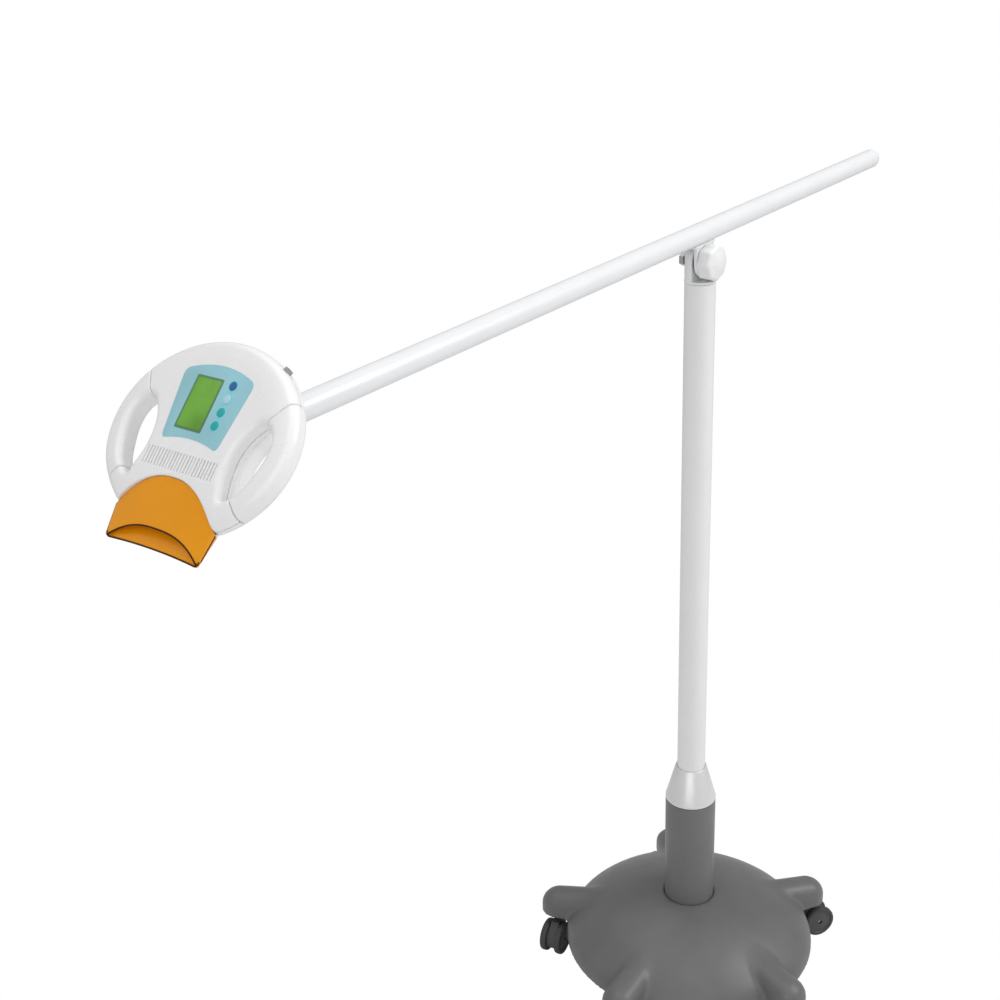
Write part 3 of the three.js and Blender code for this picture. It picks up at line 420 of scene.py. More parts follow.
def turned_piece(name: str, place: Place, profile: Spots, segments: int = 96) -> Piece:
    """Turn a profile about the local Z axis of a place.

    Args:
        name: Name of the new piece.
        place: Where the axis stands.
        profile: Radius and height pairs in millimetres, from axis to axis or else once round.
        segments: Steps round the axis.

    Returns:
        The closed piece.
    """
    points: list[Point] = []
    rings: list[list[int]] = []
    closing = profile[:1] if profile[0][0] > TINY else []
    for radius, height in [*profile, *closing]:
        start = len(points)
        if radius < TINY:
            rings.append([start] * segments)
            points.append((0.0, 0.0, height))
            continue
        for step in range(segments):
            turn = FULL_TURN * step / segments
            points.append((radius * math.cos(turn), radius * math.sin(turn), height))
        rings.append(list(range(start, start + segments)))
    faces = []
    for low, high in zip(rings, rings[1:]):
        for step in range(segments):
            after = (step + 1) % segments
            face = list(dict.fromkeys([low[step], low[after], high[after], high[step]]))
            if len(face) > 2:
                faces.append(face)
    piece = mesh_object(name, place.out(np.array(points)), faces)
    smooth(piece, 35.0)
    return piece


def smooth_max(a: Array, b: Array, k: float) -> Array:
    """Greater of two distances with a rounded crease of size k."""
    h = np.clip(0.5 + 0.5 * (a - b) / k, 0.0, 1.0)
    return b + (a - b) * h + k * h * (1.0 - h)


def smooth_min(a: Array, b: Array, k: float) -> Array:
    """Lesser of two distances with a rounded crease of size k."""
    return -smooth_max(-a, -b, k)


def joined(*solids: Array) -> Array:
    """Distance to all of the solids together."""
    return reduce(np.minimum, solids)


def common(*solids: Array) -> Array:
    """Distance to what the solids share."""
    return reduce(np.maximum, solids)


def slab(plan: Array, height: Array, low: float, high: float, edge: float) -> Array:
    """Distance to a plate of a plan outline between two heights, with rounded edges."""
    side = plan + edge
    rise = np.abs(height - (low + high) / 2.0) - (high - low) / 2.0 + edge
    outside = np.hypot(np.maximum(side, 0.0), np.maximum(rise, 0.0))
    return outside + np.minimum(np.maximum(side, rise), 0.0) - edge


def box_distance(x: Array, y: Array, z: Array, low: Point, high: Point, edge: float = 0.0) -> Array:
    """Distance to a box with rounded edges."""
    sides = []
    for values, a, b in zip((x, y, z), low, high):
        sides.append(np.abs(values - (a + b) / 2.0) - (b - a) / 2.0 + edge)
    outside = np.sqrt(sum(np.maximum(side, 0.0) ** 2 for side in sides))
    return outside + np.minimum(common(*sides), 0.0) - edge


def polygon_distance(x: Array, y: Array, outline: Array) -> Array:
    """Signed distance to a closed plan outline, negative inside.

    Args:
        x: First coordinates of the points asked for.
        y: Second coordinates.
        outline: Corners of the outline, one row each.

    Returns:
        The distances in the shape of x.
    """
    best = np.full(x.shape, np.inf)
    inside = np.zeros(x.shape, dtype=bool)
    for (ax, ay), (bx, by) in zip(outline, np.roll(outline, -1, axis=0)):
        ex, ey = bx - ax, by - ay
        wx, wy = x - ax, y - ay
        share = np.clip((wx * ex + wy * ey) / (ex * ex + ey * ey), 0.0, 1.0)
        best = np.minimum(best, (wx - ex * share) ** 2 + (wy - ey * share) ** 2)
        crosses = ((ay <= y) & (by > y)) | ((by <= y) & (ay > y))
        at = ax + (y - ay) * ex / (ey or 1.0)
        inside ^= crosses & (x < at)
    return np.where(inside, -1.0, 1.0) * np.sqrt(best)


def rounded_line(points: Spots, closed: bool, count: int) -> Array:
    """Smooth line through plan points by a Catmull-Rom spline.

    Args:
        points: Plan points in order.
        closed: Whether the line comes back to its start.
        count: Points per span.

    Returns:
        The fine line, one point per row.
    """
    spots = np.array(points, dtype=float)
    total = len(spots)
    made = []
    for span in range(total if closed else total - 1):
        picks = [span - 1, span, span + 1, span + 2]
        a, b, c, d = (spots[k % total if closed else min(max(k, 0), total - 1)] for k in picks)
        for t in np.arange(count) / count:
            bend = 2 * b + (c - a) * t + (2 * a - 5 * b + 4 * c - d) * t**2
            made.append(0.5 * (bend + (3 * b - a - 3 * c + d) * t**3))
    if not closed:
        made.append(spots[-1])
    return np.array(made)


def soft_outline(
    outline: Spots, corners: Sequence[int], reach: float, share: float, steps: int
) -> Spots:
    """Round some corners of a closed plan outline off.

    Args:
        outline: The outline's points in order.
        corners: Numbers of the points that are rounded off.
        reach: How far from its corner a bend starts.
        share: Greatest share of a side that a bend takes.
        steps: Steps of a bend.

    Returns:
        The new outline.
    """
    made: list[tuple[float, float]] = []
    for index, spot in enumerate(outline):
        if index not in corners:
            made.append(spot)
            continue
        corner, ends = np.array(spot), []
        for other in (outline[index - 1], outline[(index + 1) % len(outline)]):
            side = np.array(other) - corner
            ends.append(corner + unit(side) * min(reach, share * np.linalg.norm(side)))
        for t in np.arange(steps + 1) / steps:
            made.append(tuple((1 - t) ** 2 * ends[0] + 2 * t * (1 - t) * corner + t**2 * ends[1]))
    return made


def net_surface(values: Array, low: Array, step: float) -> tuple[Array, Array]:
    """Closed quad surface where a sampled distance changes sign.

    Args:
        values: Distances on a regular grid, positive on its border.
        low: Position of the grid's first sample.
        step: Grid step.

    Returns:
        Local points and quads that face out.
    """
    inside = values < 0.0
    size = np.array(values.shape) - 1
    view = {c: tuple(slice(c[k], c[k] + size[k]) for k in range(3)) for c in np.ndindex(2, 2, 2)}
    filled = sum(inside[part].astype(int) for part in view.values())
    active = (filled > 0) & (filled < len(view))
    cell = np.argwhere(active)
    number = np.full(active.shape, -1)
    number[active] = np.arange(len(cell))
    total = np.zeros((len(cell), 3))
    count = np.zeros(len(cell))
    for a in view:
        for axis in range(3):
            if a[axis]:
                continue
            b = tuple(a[k] + (k == axis) for k in range(3))
            fa, fb = values[view[a]][active], values[view[b]][active]
            cross = (fa < 0.0) != (fb < 0.0)
            share = np.where(cross, fa / np.where(cross, fa - fb, 1.0), 0.0)
            total += (np.array(a, dtype=float) + np.eye(3)[axis] * share[:, None]) * cross[:, None]
            count += cross
    points = low + (cell + total / count[:, None]) * step
    quads = []
    for axis in range(3):
        u, v = (axis + 1) % 3, (axis + 2) % 3
        change = np.diff(inside, axis=axis)
        spots = np.argwhere(change)
        inner = [(spots[:, k] > 0) & (spots[:, k] < size[k]) for k in (u, v)]
        spots = spots[inner[0] & inner[1]]
        rows = []
        for du, dv in ((1, 1), (0, 1), (0, 0), (1, 0)):
            shift = spots.copy()
            shift[:, u] -= du
            shift[:, v] -= dv
            rows.append(number[tuple(shift.T)])
        quad = np.stack(rows, 1)
        entering = ~inside[tuple(spots.T)]
        quad[entering] = quad[entering][:, ::-1]
        quads.append(quad)
    return points, np.concatenate(quads)


def sampled(values: Array, low: Array, step: float, points: Array) -> Array:
    """Read a regular grid of values between its samples.

    Args:
        values: The grid.
        low: Position of its first sample.
        step: Grid step.
        points: Where it is read, one row each.

    Returns:
        One value per point.
    """
    spots = (points - low) / step
    cell = np.clip(np.floor(spots).astype(int), 0, np.array(values.shape) - 2)
    part = np.clip(spots - cell, 0.0, 1.0)
    total = np.zeros(len(points))
    for corner in np.ndindex(2, 2, 2):
        pick = np.array(corner)
        share = np.prod(np.where(pick == 1, part, 1.0 - part), axis=1)
        total += share * values[tuple((cell + pick).T)]
    return total


def settled(points: Array, quads: Array, distance: Distance, step: float) -> Array:
    """Even a net out, then bring each point back to the surface.

    Args:
        points: The net's points.
        quads: The net's quads.
        distance: Distance to the solid's surface, negative inside.
        step: Grid step of the net.

    Returns:
        The moved points.
    """
    edges = np.concatenate([quads[:, [k, (k + 1) % 4]] for k in range(4)])
    both = np.concatenate([edges, edges[:, ::-1]])
    count = np.bincount(both[:, 0], minlength=len(points))[:, None]
    sums = [np.bincount(both[:, 0], points[both[:, 1], k], len(points)) for k in range(3)]
    total = np.stack(sums, 1)
    points = points + 0.5 * (total / count - points)
    slope = np.empty_like(points)
    probe = 0.4 * step
    for axis in range(3):
        reach = probe * np.eye(3)[axis]
        rise = distance(*(points + reach).T) - distance(*(points - reach).T)
        slope[:, axis] = rise / (2.0 * probe)
    flattest = 0.2
    move = distance(*points.T)[:, None] * slope / np.maximum((slope**2).sum(1), flattest)[:, None]
    return points - np.clip(move, -0.5 * step, 0.5 * step)


@dataclass
class Sculpt:
    """A solid given by a distance function on a box of local millimetres.

    The points settle on the function itself where it is exact, or else on its samples.
    """

    place: Place
    low: Point
    high: Point
    step: float
    distance: Distance
    relax: int = 5
    exact: bool = False

    def build(self, name: str) -> Piece:
        """Sample the distance, mesh it and even it out.

        Args:
            name: Name of the new piece.

        Returns:
            The closed piece.
        """
        low = np.array(self.low, dtype=float)
        counts = np.ceil((np.array(self.high) - low) / self.step).astype(int) + 1
        axes = [low[k] + self.step * np.arange(counts[k]) for k in range(3)]
        values = self.distance(*np.meshgrid(*axes, indexing="ij"))
        for axis in range(3):
            ends: list[Any] = [slice(None)] * 3
            ends[axis] = [0, -1]
            values[tuple(ends)] = np.maximum(values[tuple(ends)], self.step)
        points, quads = net_surface(values, low, self.step)

        def between(x: Array, y: Array, z: Array) -> Array:
            """Distance read between the samples."""
            return sampled(values, low, self.step, np.stack([x, y, z], 1))

        for _ in range(self.relax):
            points = settled(points, quads, self.distance if self.exact else between, self.step)
        piece = mesh_object(name, self.place.out(points), quads)
        smooth(piece, 62.0, 0.3 * self.step * MM, outward=False)
        return piece


@dataclass
class Rig:
    """The loaded frame, and how a piece takes the place of its nodes."""

    frame: dict[str, Any]

    def coat(self, thing: Piece, finish: Finish) -> None:
        """Give an object one finish all over."""
        thing.data.materials.clear()
        thing.data.materials.append(finish.material())

    def place(self, piece: Piece, finish: Finish, *nodes: str) -> None:
        """Let a piece that has its materials stand for nodes.

        Args:
            piece: The finished piece at the origin.
            finish: Not used.
            nodes: CAD nodes that it stands for; the first one gives the body.
        """
        body = self.frame["nodes"][nodes[0]]["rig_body"]
        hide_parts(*nodes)
        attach(piece, body)
        LOG.info("%s stands for %s on %s", piece.name, ", ".join(nodes), body)

    def stand(self, piece: Piece, finish: Finish, *nodes: str) -> None:
        """Give a piece its finish and let it stand for nodes."""
        self.coat(piece, finish)
        self.place(piece, finish, *nodes)

    def turn(
        self, node: str, finish: Finish, place: Place, profile: Spots, segments: int = 96
    ) -> None:
        """Turn the piece that stands for a node."""
        self.stand(turned_piece(node + "_smooth", place, profile, segments), finish, node)

    def sculpt(self, node: str, finish: Finish, sculpt: Sculpt) -> None:
        """Sculpt the piece that stands for a node."""
        self.stand(sculpt.build(node + "_smooth"), finish, node)

    def add(self, piece: Piece, finish: Finish, body: str) -> None:
        """Let an extra piece ride on a body without standing for a node."""
        self.coat(piece, finish)
        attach(piece, body)
        LOG.info("%s rides on %s", piece.name, body)

    def paint(self, node: str, finish: Finish) -> None:
        """Give a carried-over node its material."""
        thing = self.frame["nodes"][node]
        self.coat(thing, finish)
        for face in thing.data.polygons:
            face.material_index = 0
        LOG.info("%s is carried over", node)


AXIS_X, AXIS_Y = 192.88, 2.91
PIVOT_Z = 1055.0
ARM_OFFSET = 34.0
WRIST_REACH = 722.0
EYE_BACK, EYE_DROP = 12.7, 67.2
ARM_TURN = math.radians(1.72)
NOSE_TURN = math.radians(48.0)


def post_place() -> Place:
    """Frame on the post's axis at floor height."""
    return Place(np.array([AXIS_X, AXIS_Y, 0.0]), EAST, NORTH, UP)


def across_place(spot: Sequence[float], along: Sequence[float]) -> Place:
    """Frame whose Z runs along a level direction, for turned pieces lying down.

    Args:
        spot: Origin in millimetres.
        along: Direction of the local Z axis.

    Returns:
        The frame.
    """
    z = unit(np.array(along, dtype=float))
    x = unit(np.cross(z, UP))
    return Place(np.array(spot, dtype=float), x, np.cross(z, x), z)


def arm_place() -> Place:
    """Frame at the tilt pivot whose X runs back along the arm."""
    along = np.array([math.cos(ARM_TURN), 0.0, math.sin(ARM_TURN)])
    up = np.array([-math.sin(ARM_TURN), 0.0, math.cos(ARM_TURN)])
    return Place(np.array([AXIS_X, AXIS_Y, PIVOT_Z]), along, NORTH, up)


def arm_rod_place() -> Place:
    """Frame on the arm tube's axis whose Z runs back along the arm."""
    base = arm_place()
    return Place(base.at(0.0, 0.0, ARM_OFFSET), -base.z, base.y, base.x)


def wrist_place() -> Place:
    """Frame at the wrist pivot whose X runs back along the arm."""
    return arm_place().moved(-WRIST_REACH, 0.0, ARM_OFFSET)


def head_place() -> Place:
    """Head frame: X to the nose, Y to the operator's right, Z out of the panel."""
    nose = np.array([-math.cos(NOSE_TURN), 0.0, -math.sin(NOSE_TURN)])
    out = np.array([-math.sin(NOSE_TURN), 0.0, math.cos(NOSE_TURN)])
    pivot = wrist_place().origin
    return Place(pivot + EYE_BACK * nose + EYE_DROP * out, nose, -NORTH, out)


@dataclass(frozen=True)
class ColumnSizes:
    """Sizes of the post, its socket and its collar, in millimetres."""

    post_radius: float = 19.05
    post_low: float = 78.6
    post_seam: float = 1028.9
    wall: float = 1.5
    socket_radius: float = 34.7
    socket_low: float = 68.4
    socket_top: float = 291.9
    socket_wall: float = 3.0
    socket_floor: float = 10.0
    socket_knee_share: float = 0.2
    bolt_hole: float = 6.3
    collar_low: float = 292.4
    collar_top: float = 343.9
    collar_radius: float = 21.5
    collar_lip: float = 4.0
    collar_wall: float = 3.2
    collar_play: float = 0.4
    lip_inset: float = 0.3
    mouth_depth: float = 3.0
    core_drop: float = 1.0
    edge: float = 0.7


@dataclass
class Column:
    """Post, socket and silver collar."""

    rig: Rig
    sizes: ColumnSizes = field(default_factory=ColumnSizes)

    def build(self) -> None:
        """Make the column's pieces."""
        self._post()
        self._socket()
        self._collar()

    def _post(self) -> None:
        """Make the post's tube."""
        s = self.sizes
        inner, outer = s.post_radius - s.wall, s.post_radius
        profile = [(inner, s.post_low), (outer - s.edge, s.post_low), (outer, s.post_low + s.edge)]
        profile += [(outer, s.post_seam - s.edge), (outer - s.edge, s.post_seam)]
        profile += [(inner, s.post_seam)]
        self.rig.turn("post_tube", POST_PAINT, post_place(), profile)

    def _socket(self) -> None:
        """Make the socket: a cup with a hole for the tie bolt in its floor."""
        s = self.sizes
        outer, top, floor = s.socket_radius, s.socket_top, s.socket_low + s.socket_floor
        core, knee = outer - s.socket_wall, s.socket_knee_share * s.edge
        profile = [(s.bolt_hole, s.socket_low), (outer, s.socket_low), (outer, top - s.edge)]
        profile += [(outer - knee, top - knee), (outer - s.edge, top), (core, top)]
        profile += [(core, floor), (s.bolt_hole, floor)]
        self.rig.turn("post_socket", SOCKET_GREY, post_place(), profile, 128)

    def _collar(self) -> None:
        """Make the collar: a straight lip, then a cone up to the post."""
        s = self.sizes
        foot, low, top = s.socket_radius, s.collar_low, s.collar_top
        mouth = s.post_radius + s.collar_play
        shoulder, core = low + s.collar_lip, foot - s.collar_wall
        profile = [(foot - s.edge, low), (foot, low + s.edge)]
        profile += [(foot, shoulder - s.edge), (foot - s.lip_inset, shoulder)]
        profile += [(s.collar_radius, top - s.edge), (s.collar_radius - s.edge, top), (mouth, top)]
        profile += [(mouth, top - s.mouth_depth), (core, shoulder - s.core_drop), (core, low)]
        self.rig.turn("socket_collar", SILVER, post_place(), profile, 128)


@dataclass(frozen=True)
class BaseSizes:
    """Sizes of the moulded base cover, in millimetres."""

    leg_count: int = 5
    first_leg: float = 183.0
    cover_radius: float = 176.0
    rim: float = 55.2
    dome: float = 132.6
    dome_table: tuple[tuple[float, float], ...] = (
        (36.0, 132.6), (70.0, 127.4), (105.0, 117.0), (135.0, 103.0), (158.0, 87.0), (170.0, 75.4),
        (175.3, 65.0), (176.0, 56.0),
    )
    socket_opening: float = 35.4
    hood_tip: float = 219.3
    hood_start: float = 104.0
    hood_half_width: float = 23.4
    hood_height: float = 93.4
    hood_side: float = 73.0
    hood_foot: float = 10.0
    hood_slope: float = 0.13
    hood_rim: float = 61.2
    wall: float = 3.9
    crease: float = 7.0
    skirt: float = 12.0
    skirt_foot: float = 30.0
    dome_steps: int = 5
    hood_steps: int = 12
    room: float = 3.0
    relax: int = 3
    step: float = 2.1

    def leg(self, index: int) -> float:
        """Direction of a leg in radians."""
        return math.radians(self.first_leg + 360.0 / self.leg_count * index)


@dataclass
class BaseCover:
    """Round domed cover with a hood over each caster."""

    rig: Rig
    sizes: BaseSizes = field(default_factory=BaseSizes)

    def build(self) -> None:
        """Make the cover piece."""
        s = self.sizes
        reach, margin = s.hood_tip + s.room, 2.0 * s.step
        low, high = (-reach, -reach, s.rim - margin), (reach, reach, s.dome + margin)
        cover = Sculpt(post_place(), low, high, s.step, self.shell, s.relax, exact=True)
        self.rig.sculpt("base_cover", BASE_GREY, cover)

    def dome_profile(self) -> Array:
        """Outline of the dome's half section, as radius and height."""
        s = self.sizes
        spots = [(0.0, s.dome), *s.dome_table, (s.cover_radius, s.rim - s.skirt)]
        line = rounded_line(spots, False, s.dome_steps)
        foot = s.rim - s.skirt_foot
        return np.concatenate([line, [(s.cover_radius, foot), (0.0, foot)]])

    def hood_profile(self) -> Array:
        """Outline of a hood's half section, as distance from its ridge and height."""
        s = self.sizes
        rise = s.hood_height - s.hood_side
        crown = arc(0.0, 2.0, s.hood_steps, s.hood_half_width, rise)
        foot = [(-s.hood_half_width, s.hood_foot), (s.hood_half_width, s.hood_foot)]
        return np.array(foot + [(across, s.hood_side + up) for across, up in crown])

    def filled(self, x: Array, y: Array, z: Array) -> Array:
        """Distance to the cover's outside, filled."""
        s = self.sizes
        radius = np.hypot(x, y)
        body = polygon_distance(radius, z, self.dome_profile())
        angle = np.degrees(np.arctan2(y, x)) - s.first_leg
        pitch = 360.0 / s.leg_count
        near = np.radians((angle + pitch / 2.0) % pitch - pitch / 2.0)
        along, across = radius * np.cos(near), radius * np.sin(near)
        past = np.maximum(along - s.hood_tip + s.hood_half_width, 0.0)
        before = np.maximum(s.hood_start - along, 0.0)
        reach = np.hypot(np.hypot(past, before), across)
        hood = polygon_distance(reach, z + s.hood_slope * (along - s.hood_tip), self.hood_profile())
        return smooth_min(body, common(hood, s.hood_rim - z), s.crease)

    def shell(self, x: Array, y: Array, z: Array) -> Array:
        """Distance to the hollow cover, open below and round the socket."""
        s = self.sizes
        outside = self.filled(x, y, z)
        return common(outside, -(outside + s.wall), s.rim - z, s.socket_opening - np.hypot(x, y))


@dataclass(frozen=True)
class CasterSizes:
    """Sizes of one twin-wheel caster, in millimetres."""

    circle: float = 193.0
    trail: float = 18.0
    axle_height: float = 24.0
    axle_hole: float = 3.3
    wheel_radius: float = 23.9
    wheel_width: float = 9.8
    inner_face: float = 0.2
    fork_half: float = 6.3
    tread_edge: float = 2.6
    tread_depth: float = 5.5
    tread_play: float = 0.1
    # Inset from the tread and depth below the outer face of the hub cap's points.
    cap_table: tuple[tuple[float, float], ...] = ((6.3, 1.2), (9.0, 1.4), (16.0, 0.2))
    hub_radius: float = 4.2
    hub_rise: float = 0.2
    hub_depth: float = 0.5
    segments: int = 72
    turns: tuple[float, ...] = (205.0, 150.0, 0.0, 30.0, 80.0)


@dataclass
class Casters:
    """The five casters: wheels with a dished hub cap each."""

    rig: Rig
    sizes: CasterSizes = field(default_factory=CasterSizes)
    base: BaseSizes = field(default_factory=BaseSizes)

    def build(self) -> None:
        """Make each wheel of each caster."""
        for index, turn in enumerate(self.sizes.turns):
            leg = self.base.leg(index)
            self._wheels(index + 1, leg, leg + math.radians(turn))

    def _wheels(self, number: int, leg: float, heading: float) -> None:
        """Make the two wheels of one caster."""
        s = self.sizes
        stem = post_place().at(s.circle * math.cos(leg), s.circle * math.sin(leg), 0.0)
        ahead = np.array([math.cos(heading), math.sin(heading), 0.0])
        aside = np.array([-math.sin(heading), math.cos(heading), 0.0])
        hub = stem + ahead * s.trail + UP * s.axle_height
        for letter in ("a", "b"):
            node = f"caster_{number}_wheel_{letter}"
            low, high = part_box(node)
            middle = (np.array(low) + np.array(high)) / 2.0 / MM
            side = aside if float(np.dot(middle - hub, aside)) > 0.0 else -aside
            self._wheel(node, across_place(hub + side * s.fork_half, side))

    def _wheel(self, node: str, place: Place) -> None:
        """Make one wheel: a rubber tread round a paler hub cap."""
        s = self.sizes
        r, w, e, hole, face = s.wheel_radius, s.wheel_width, s.tread_edge, s.axle_hole, s.inner_face
        knee = KNEE_SHARE * e
        tread = [(r - e, face), (r - knee, face + knee), (r, face + e)]
        tread += [(r, w - e), (r - knee, w - knee), (r - e, w), (r - s.tread_depth, w)]
        cap = [(r - inset, w - depth) for inset, depth in s.cap_table]
        cap += [(s.hub_radius, w + s.hub_rise), (hole, w - s.hub_depth)]
        profile = [(hole, face), *tread, *cap]
        wheel = turned_piece(node + "_smooth", place, profile, s.segments)
        wheel.data.materials.append(WHEEL_GREY.material())
        wheel.data.materials.append(FORK_GREY.material())
        for polygon in wheel.data.polygons:
            centre = np.array(polygon.center) / MM - place.origin
            flat = centre - np.dot(centre, place.z) * place.z
            polygon.material_index = int(np.linalg.norm(flat) < r - s.tread_depth - s.tread_play)
        self.rig.place(wheel, WHEEL_GREY, node)


@dataclass(frozen=True)
class TiltSizes:
    """Sizes of the joint between post and arm, in millimetres."""

    post_radius: float = 19.05
    head_low: float = 1029.3
    neck_top: float = 1031.6
    spigot_low: float = 969.4
    spigot_inset: float = 1.9
    tongue_radius: float = 17.5
    tongue_face: float = 1.8
    ear_radius: float = 19.0
    ear_near: float = -6.7
    ear_far: float = -1.85
    saddle_half: float = 22.9
    saddle_bed: float = 19.4
    bolt_hole: float = 5.3
    arm_radius: float = 12.7
    arm_play: float = 0.15
    neck_overlap: float = 0.6
    cheek_overlap: float = 6.0
    tongue_overrun: float = 4.0
    tongue_blend: float = 1.0
    head_blend: float = 1.5
    saddle_blend: float = 3.0
    block_edge: float = 1.6
    edge: float = 0.5
    soft: float = 0.8
    # Room round the post's axis, under the spigot and over the pivot.
    head_room: Point = (22.0, 2.0, 21.0)
    saddle_box: tuple[Point, Point] = ((-26.0, -9.0, -22.0), (26.0, 22.0, 37.0))
    step: float = 0.75


@dataclass
class TiltJoint:
    """Turning head of the post, the arm's saddle and the clamp knob."""

    rig: Rig
    sizes: TiltSizes = field(default_factory=TiltSizes)

    def build(self) -> None:
        """Make the joint's pieces."""
        s = self.sizes
        around, under, over = s.head_room
        low, high = (-around, -around, s.spigot_low - under), (around, around, PIVOT_Z + over)
        head = Sculpt(post_place(), low, high, s.step, self.head_distance)
        self.rig.sculpt("post_head", POST_PAINT, head)
        saddle = Sculpt(arm_place(), *s.saddle_box, s.step, self.saddle_distance)
        self.rig.sculpt("arm_saddle", ARM_PAINT, saddle)
        ClampKnob(self.rig).build()

    def head_distance(self, x: Array, y: Array, z: Array) -> Array:
        """Distance to the turning head: spigot, neck and tongue."""
        s = self.sizes
        radial = np.hypot(x, y)
        inset = radial - (s.post_radius - s.spigot_inset)
        neck = slab(radial - s.post_radius, z, s.head_low, s.neck_top + s.neck_overlap, s.edge)
        spigot = slab(inset, z, s.spigot_low, s.neck_top, s.edge)
        turn = np.hypot(x, z - PIVOT_Z)
        below = common(np.abs(x) - s.tongue_radius, z - PIVOT_Z, s.head_low - z)
        plan = joined(turn - s.tongue_radius, below)
        tongue = slab(plan, y, s.tongue_face, s.post_radius + s.tongue_overrun, s.soft)
        tongue = smooth_max(tongue, radial - s.post_radius, s.tongue_blend)
        return common(smooth_min(joined(neck, spigot), tongue, s.head_blend), s.bolt_hole - turn)

    def saddle_distance(self, x: Array, y: Array, z: Array) -> Array:
        """Distance to the saddle: ear, cheek and the block under the arm."""
        s = self.sizes
        turn = np.hypot(x, z)
        cheek = common(np.abs(x) - s.ear_radius, -z, z - s.saddle_bed - s.cheek_overlap)
        ear = slab(joined(turn - s.ear_radius, cheek), y, s.ear_near, s.ear_far, s.soft)
        low = (-s.saddle_half, s.ear_near, s.saddle_bed)
        high = (s.saddle_half, s.post_radius, ARM_OFFSET)
        block = box_distance(x, y, z, low, high, s.block_edge)
        channel = np.hypot(y, z - ARM_OFFSET) - s.arm_radius - s.arm_play
        return common(smooth_min(ear, block, s.saddle_blend), -channel, s.bolt_hole - turn)


@dataclass(frozen=True)
class KnobSizes:
    """Sizes of the lobed clamp knob, in millimetres."""

    radius: float = 22.4
    lobes: int = 8
    lobe_depth: float = 1.9
    near: float = -29.0
    far: float = -7.2
    crown: float = 5.4
    shoulder: float = 5.5
    shoulder_rise: float = 4.6
    shoulder_steps: int = 8
    shoulder_fade: float = 0.45
    side_drop: float = 3.0
    crown_drop: float = 1.6
    face_lobing: float = 0.5
    face_shares: tuple[float, ...] = (0.75, 0.5, 0.25, 0.0)
    hub_radius: float = 6.0
    # Inset, height and share of lobing of the rings round the back's edge.
    back_table: tuple[Point, ...] = ((2.5, 0.0, 0.8), (0.5, 0.7, 1.0), (0.0, 2.2, 1.0))
    wave_power: float = 0.8
    steps: int = 192


@dataclass
class ClampKnob:
    """White hand knob with soft lobes and a domed face."""

    rig: Rig
    sizes: KnobSizes = field(default_factory=KnobSizes)

    def rings(self) -> list[tuple[float, float, float]]:
        """Radius, height and share of lobing of each ring, from the back to the face."""
        s = self.sizes
        thick, face = s.far - s.near, s.radius - s.shoulder
        side, count = thick - s.crown - s.side_drop, s.shoulder_steps
        rings = [(0.0, 0.0, 0.0), (s.hub_radius, 0.0, 0.0)]
        rings += [(s.radius - inset, height, lobing) for inset, height, lobing in s.back_table]
        rings.append((s.radius, side, 1.0))
        bend = arc(0.0, 1.0, count, s.shoulder, s.shoulder_rise)
        for step, (across, rise) in enumerate(bend[1:], 1):
            rings.append((face + across, side + rise, 1.0 - s.shoulder_fade * step / count))
        for share in s.face_shares:
            height = thick - (s.crown - s.crown_drop) * share**2
            rings.append((face * share, height, s.face_lobing * share))
        return rings

    def build(self) -> None:
        """Make the knob as rings of a lobed outline."""
        s = self.sizes
        points: list[Point] = []
        rings = self.rings()
        for radius, height, lobing in rings:
            for step in range(s.steps):
                turn = FULL_TURN * step / s.steps
                wave = 0.5 - 0.5 * math.cos(turn * s.lobes)
                reach = max(radius - s.lobe_depth * lobing * wave**s.wave_power, 0.0)
                points.append((reach * math.cos(turn), reach * math.sin(turn), height))
        place = across_place((AXIS_X, AXIS_Y + s.far, PIVOT_Z), (0.0, -1.0, 0.0))
        faces = ring_faces(s.steps, len(rings))
        knob = mesh_object("clamp_knob_smooth", place.out(np.array(points)), faces)
        smooth(knob, 50.0)
        self.rig.stand(knob, KNOB_WHITE, "clamp_knob")


@dataclass(frozen=True)
class ArmSizes:
    """Sizes of the arm tube and its cap, in millimetres."""

    radius: float = 12.7
    front: float = -690.0
    rear: float = 462.0
    wall: float = 1.5
    front_edge: float = 0.6
    edge: float = 0.4
    cap_gap: float = 0.3
    cap_length: float = 8.0
    cap_round: float = 7.6
    plug: float = 15.0
    plug_play: float = 0.4
    pip: float = 3.0
    pip_length: float = 1.5
    # Inset from the pip's side and drop from its tip of the points of its edge.
    pip_table: tuple[tuple[float, float], ...] = ((0.2, 0.3), (0.7, 0.0))


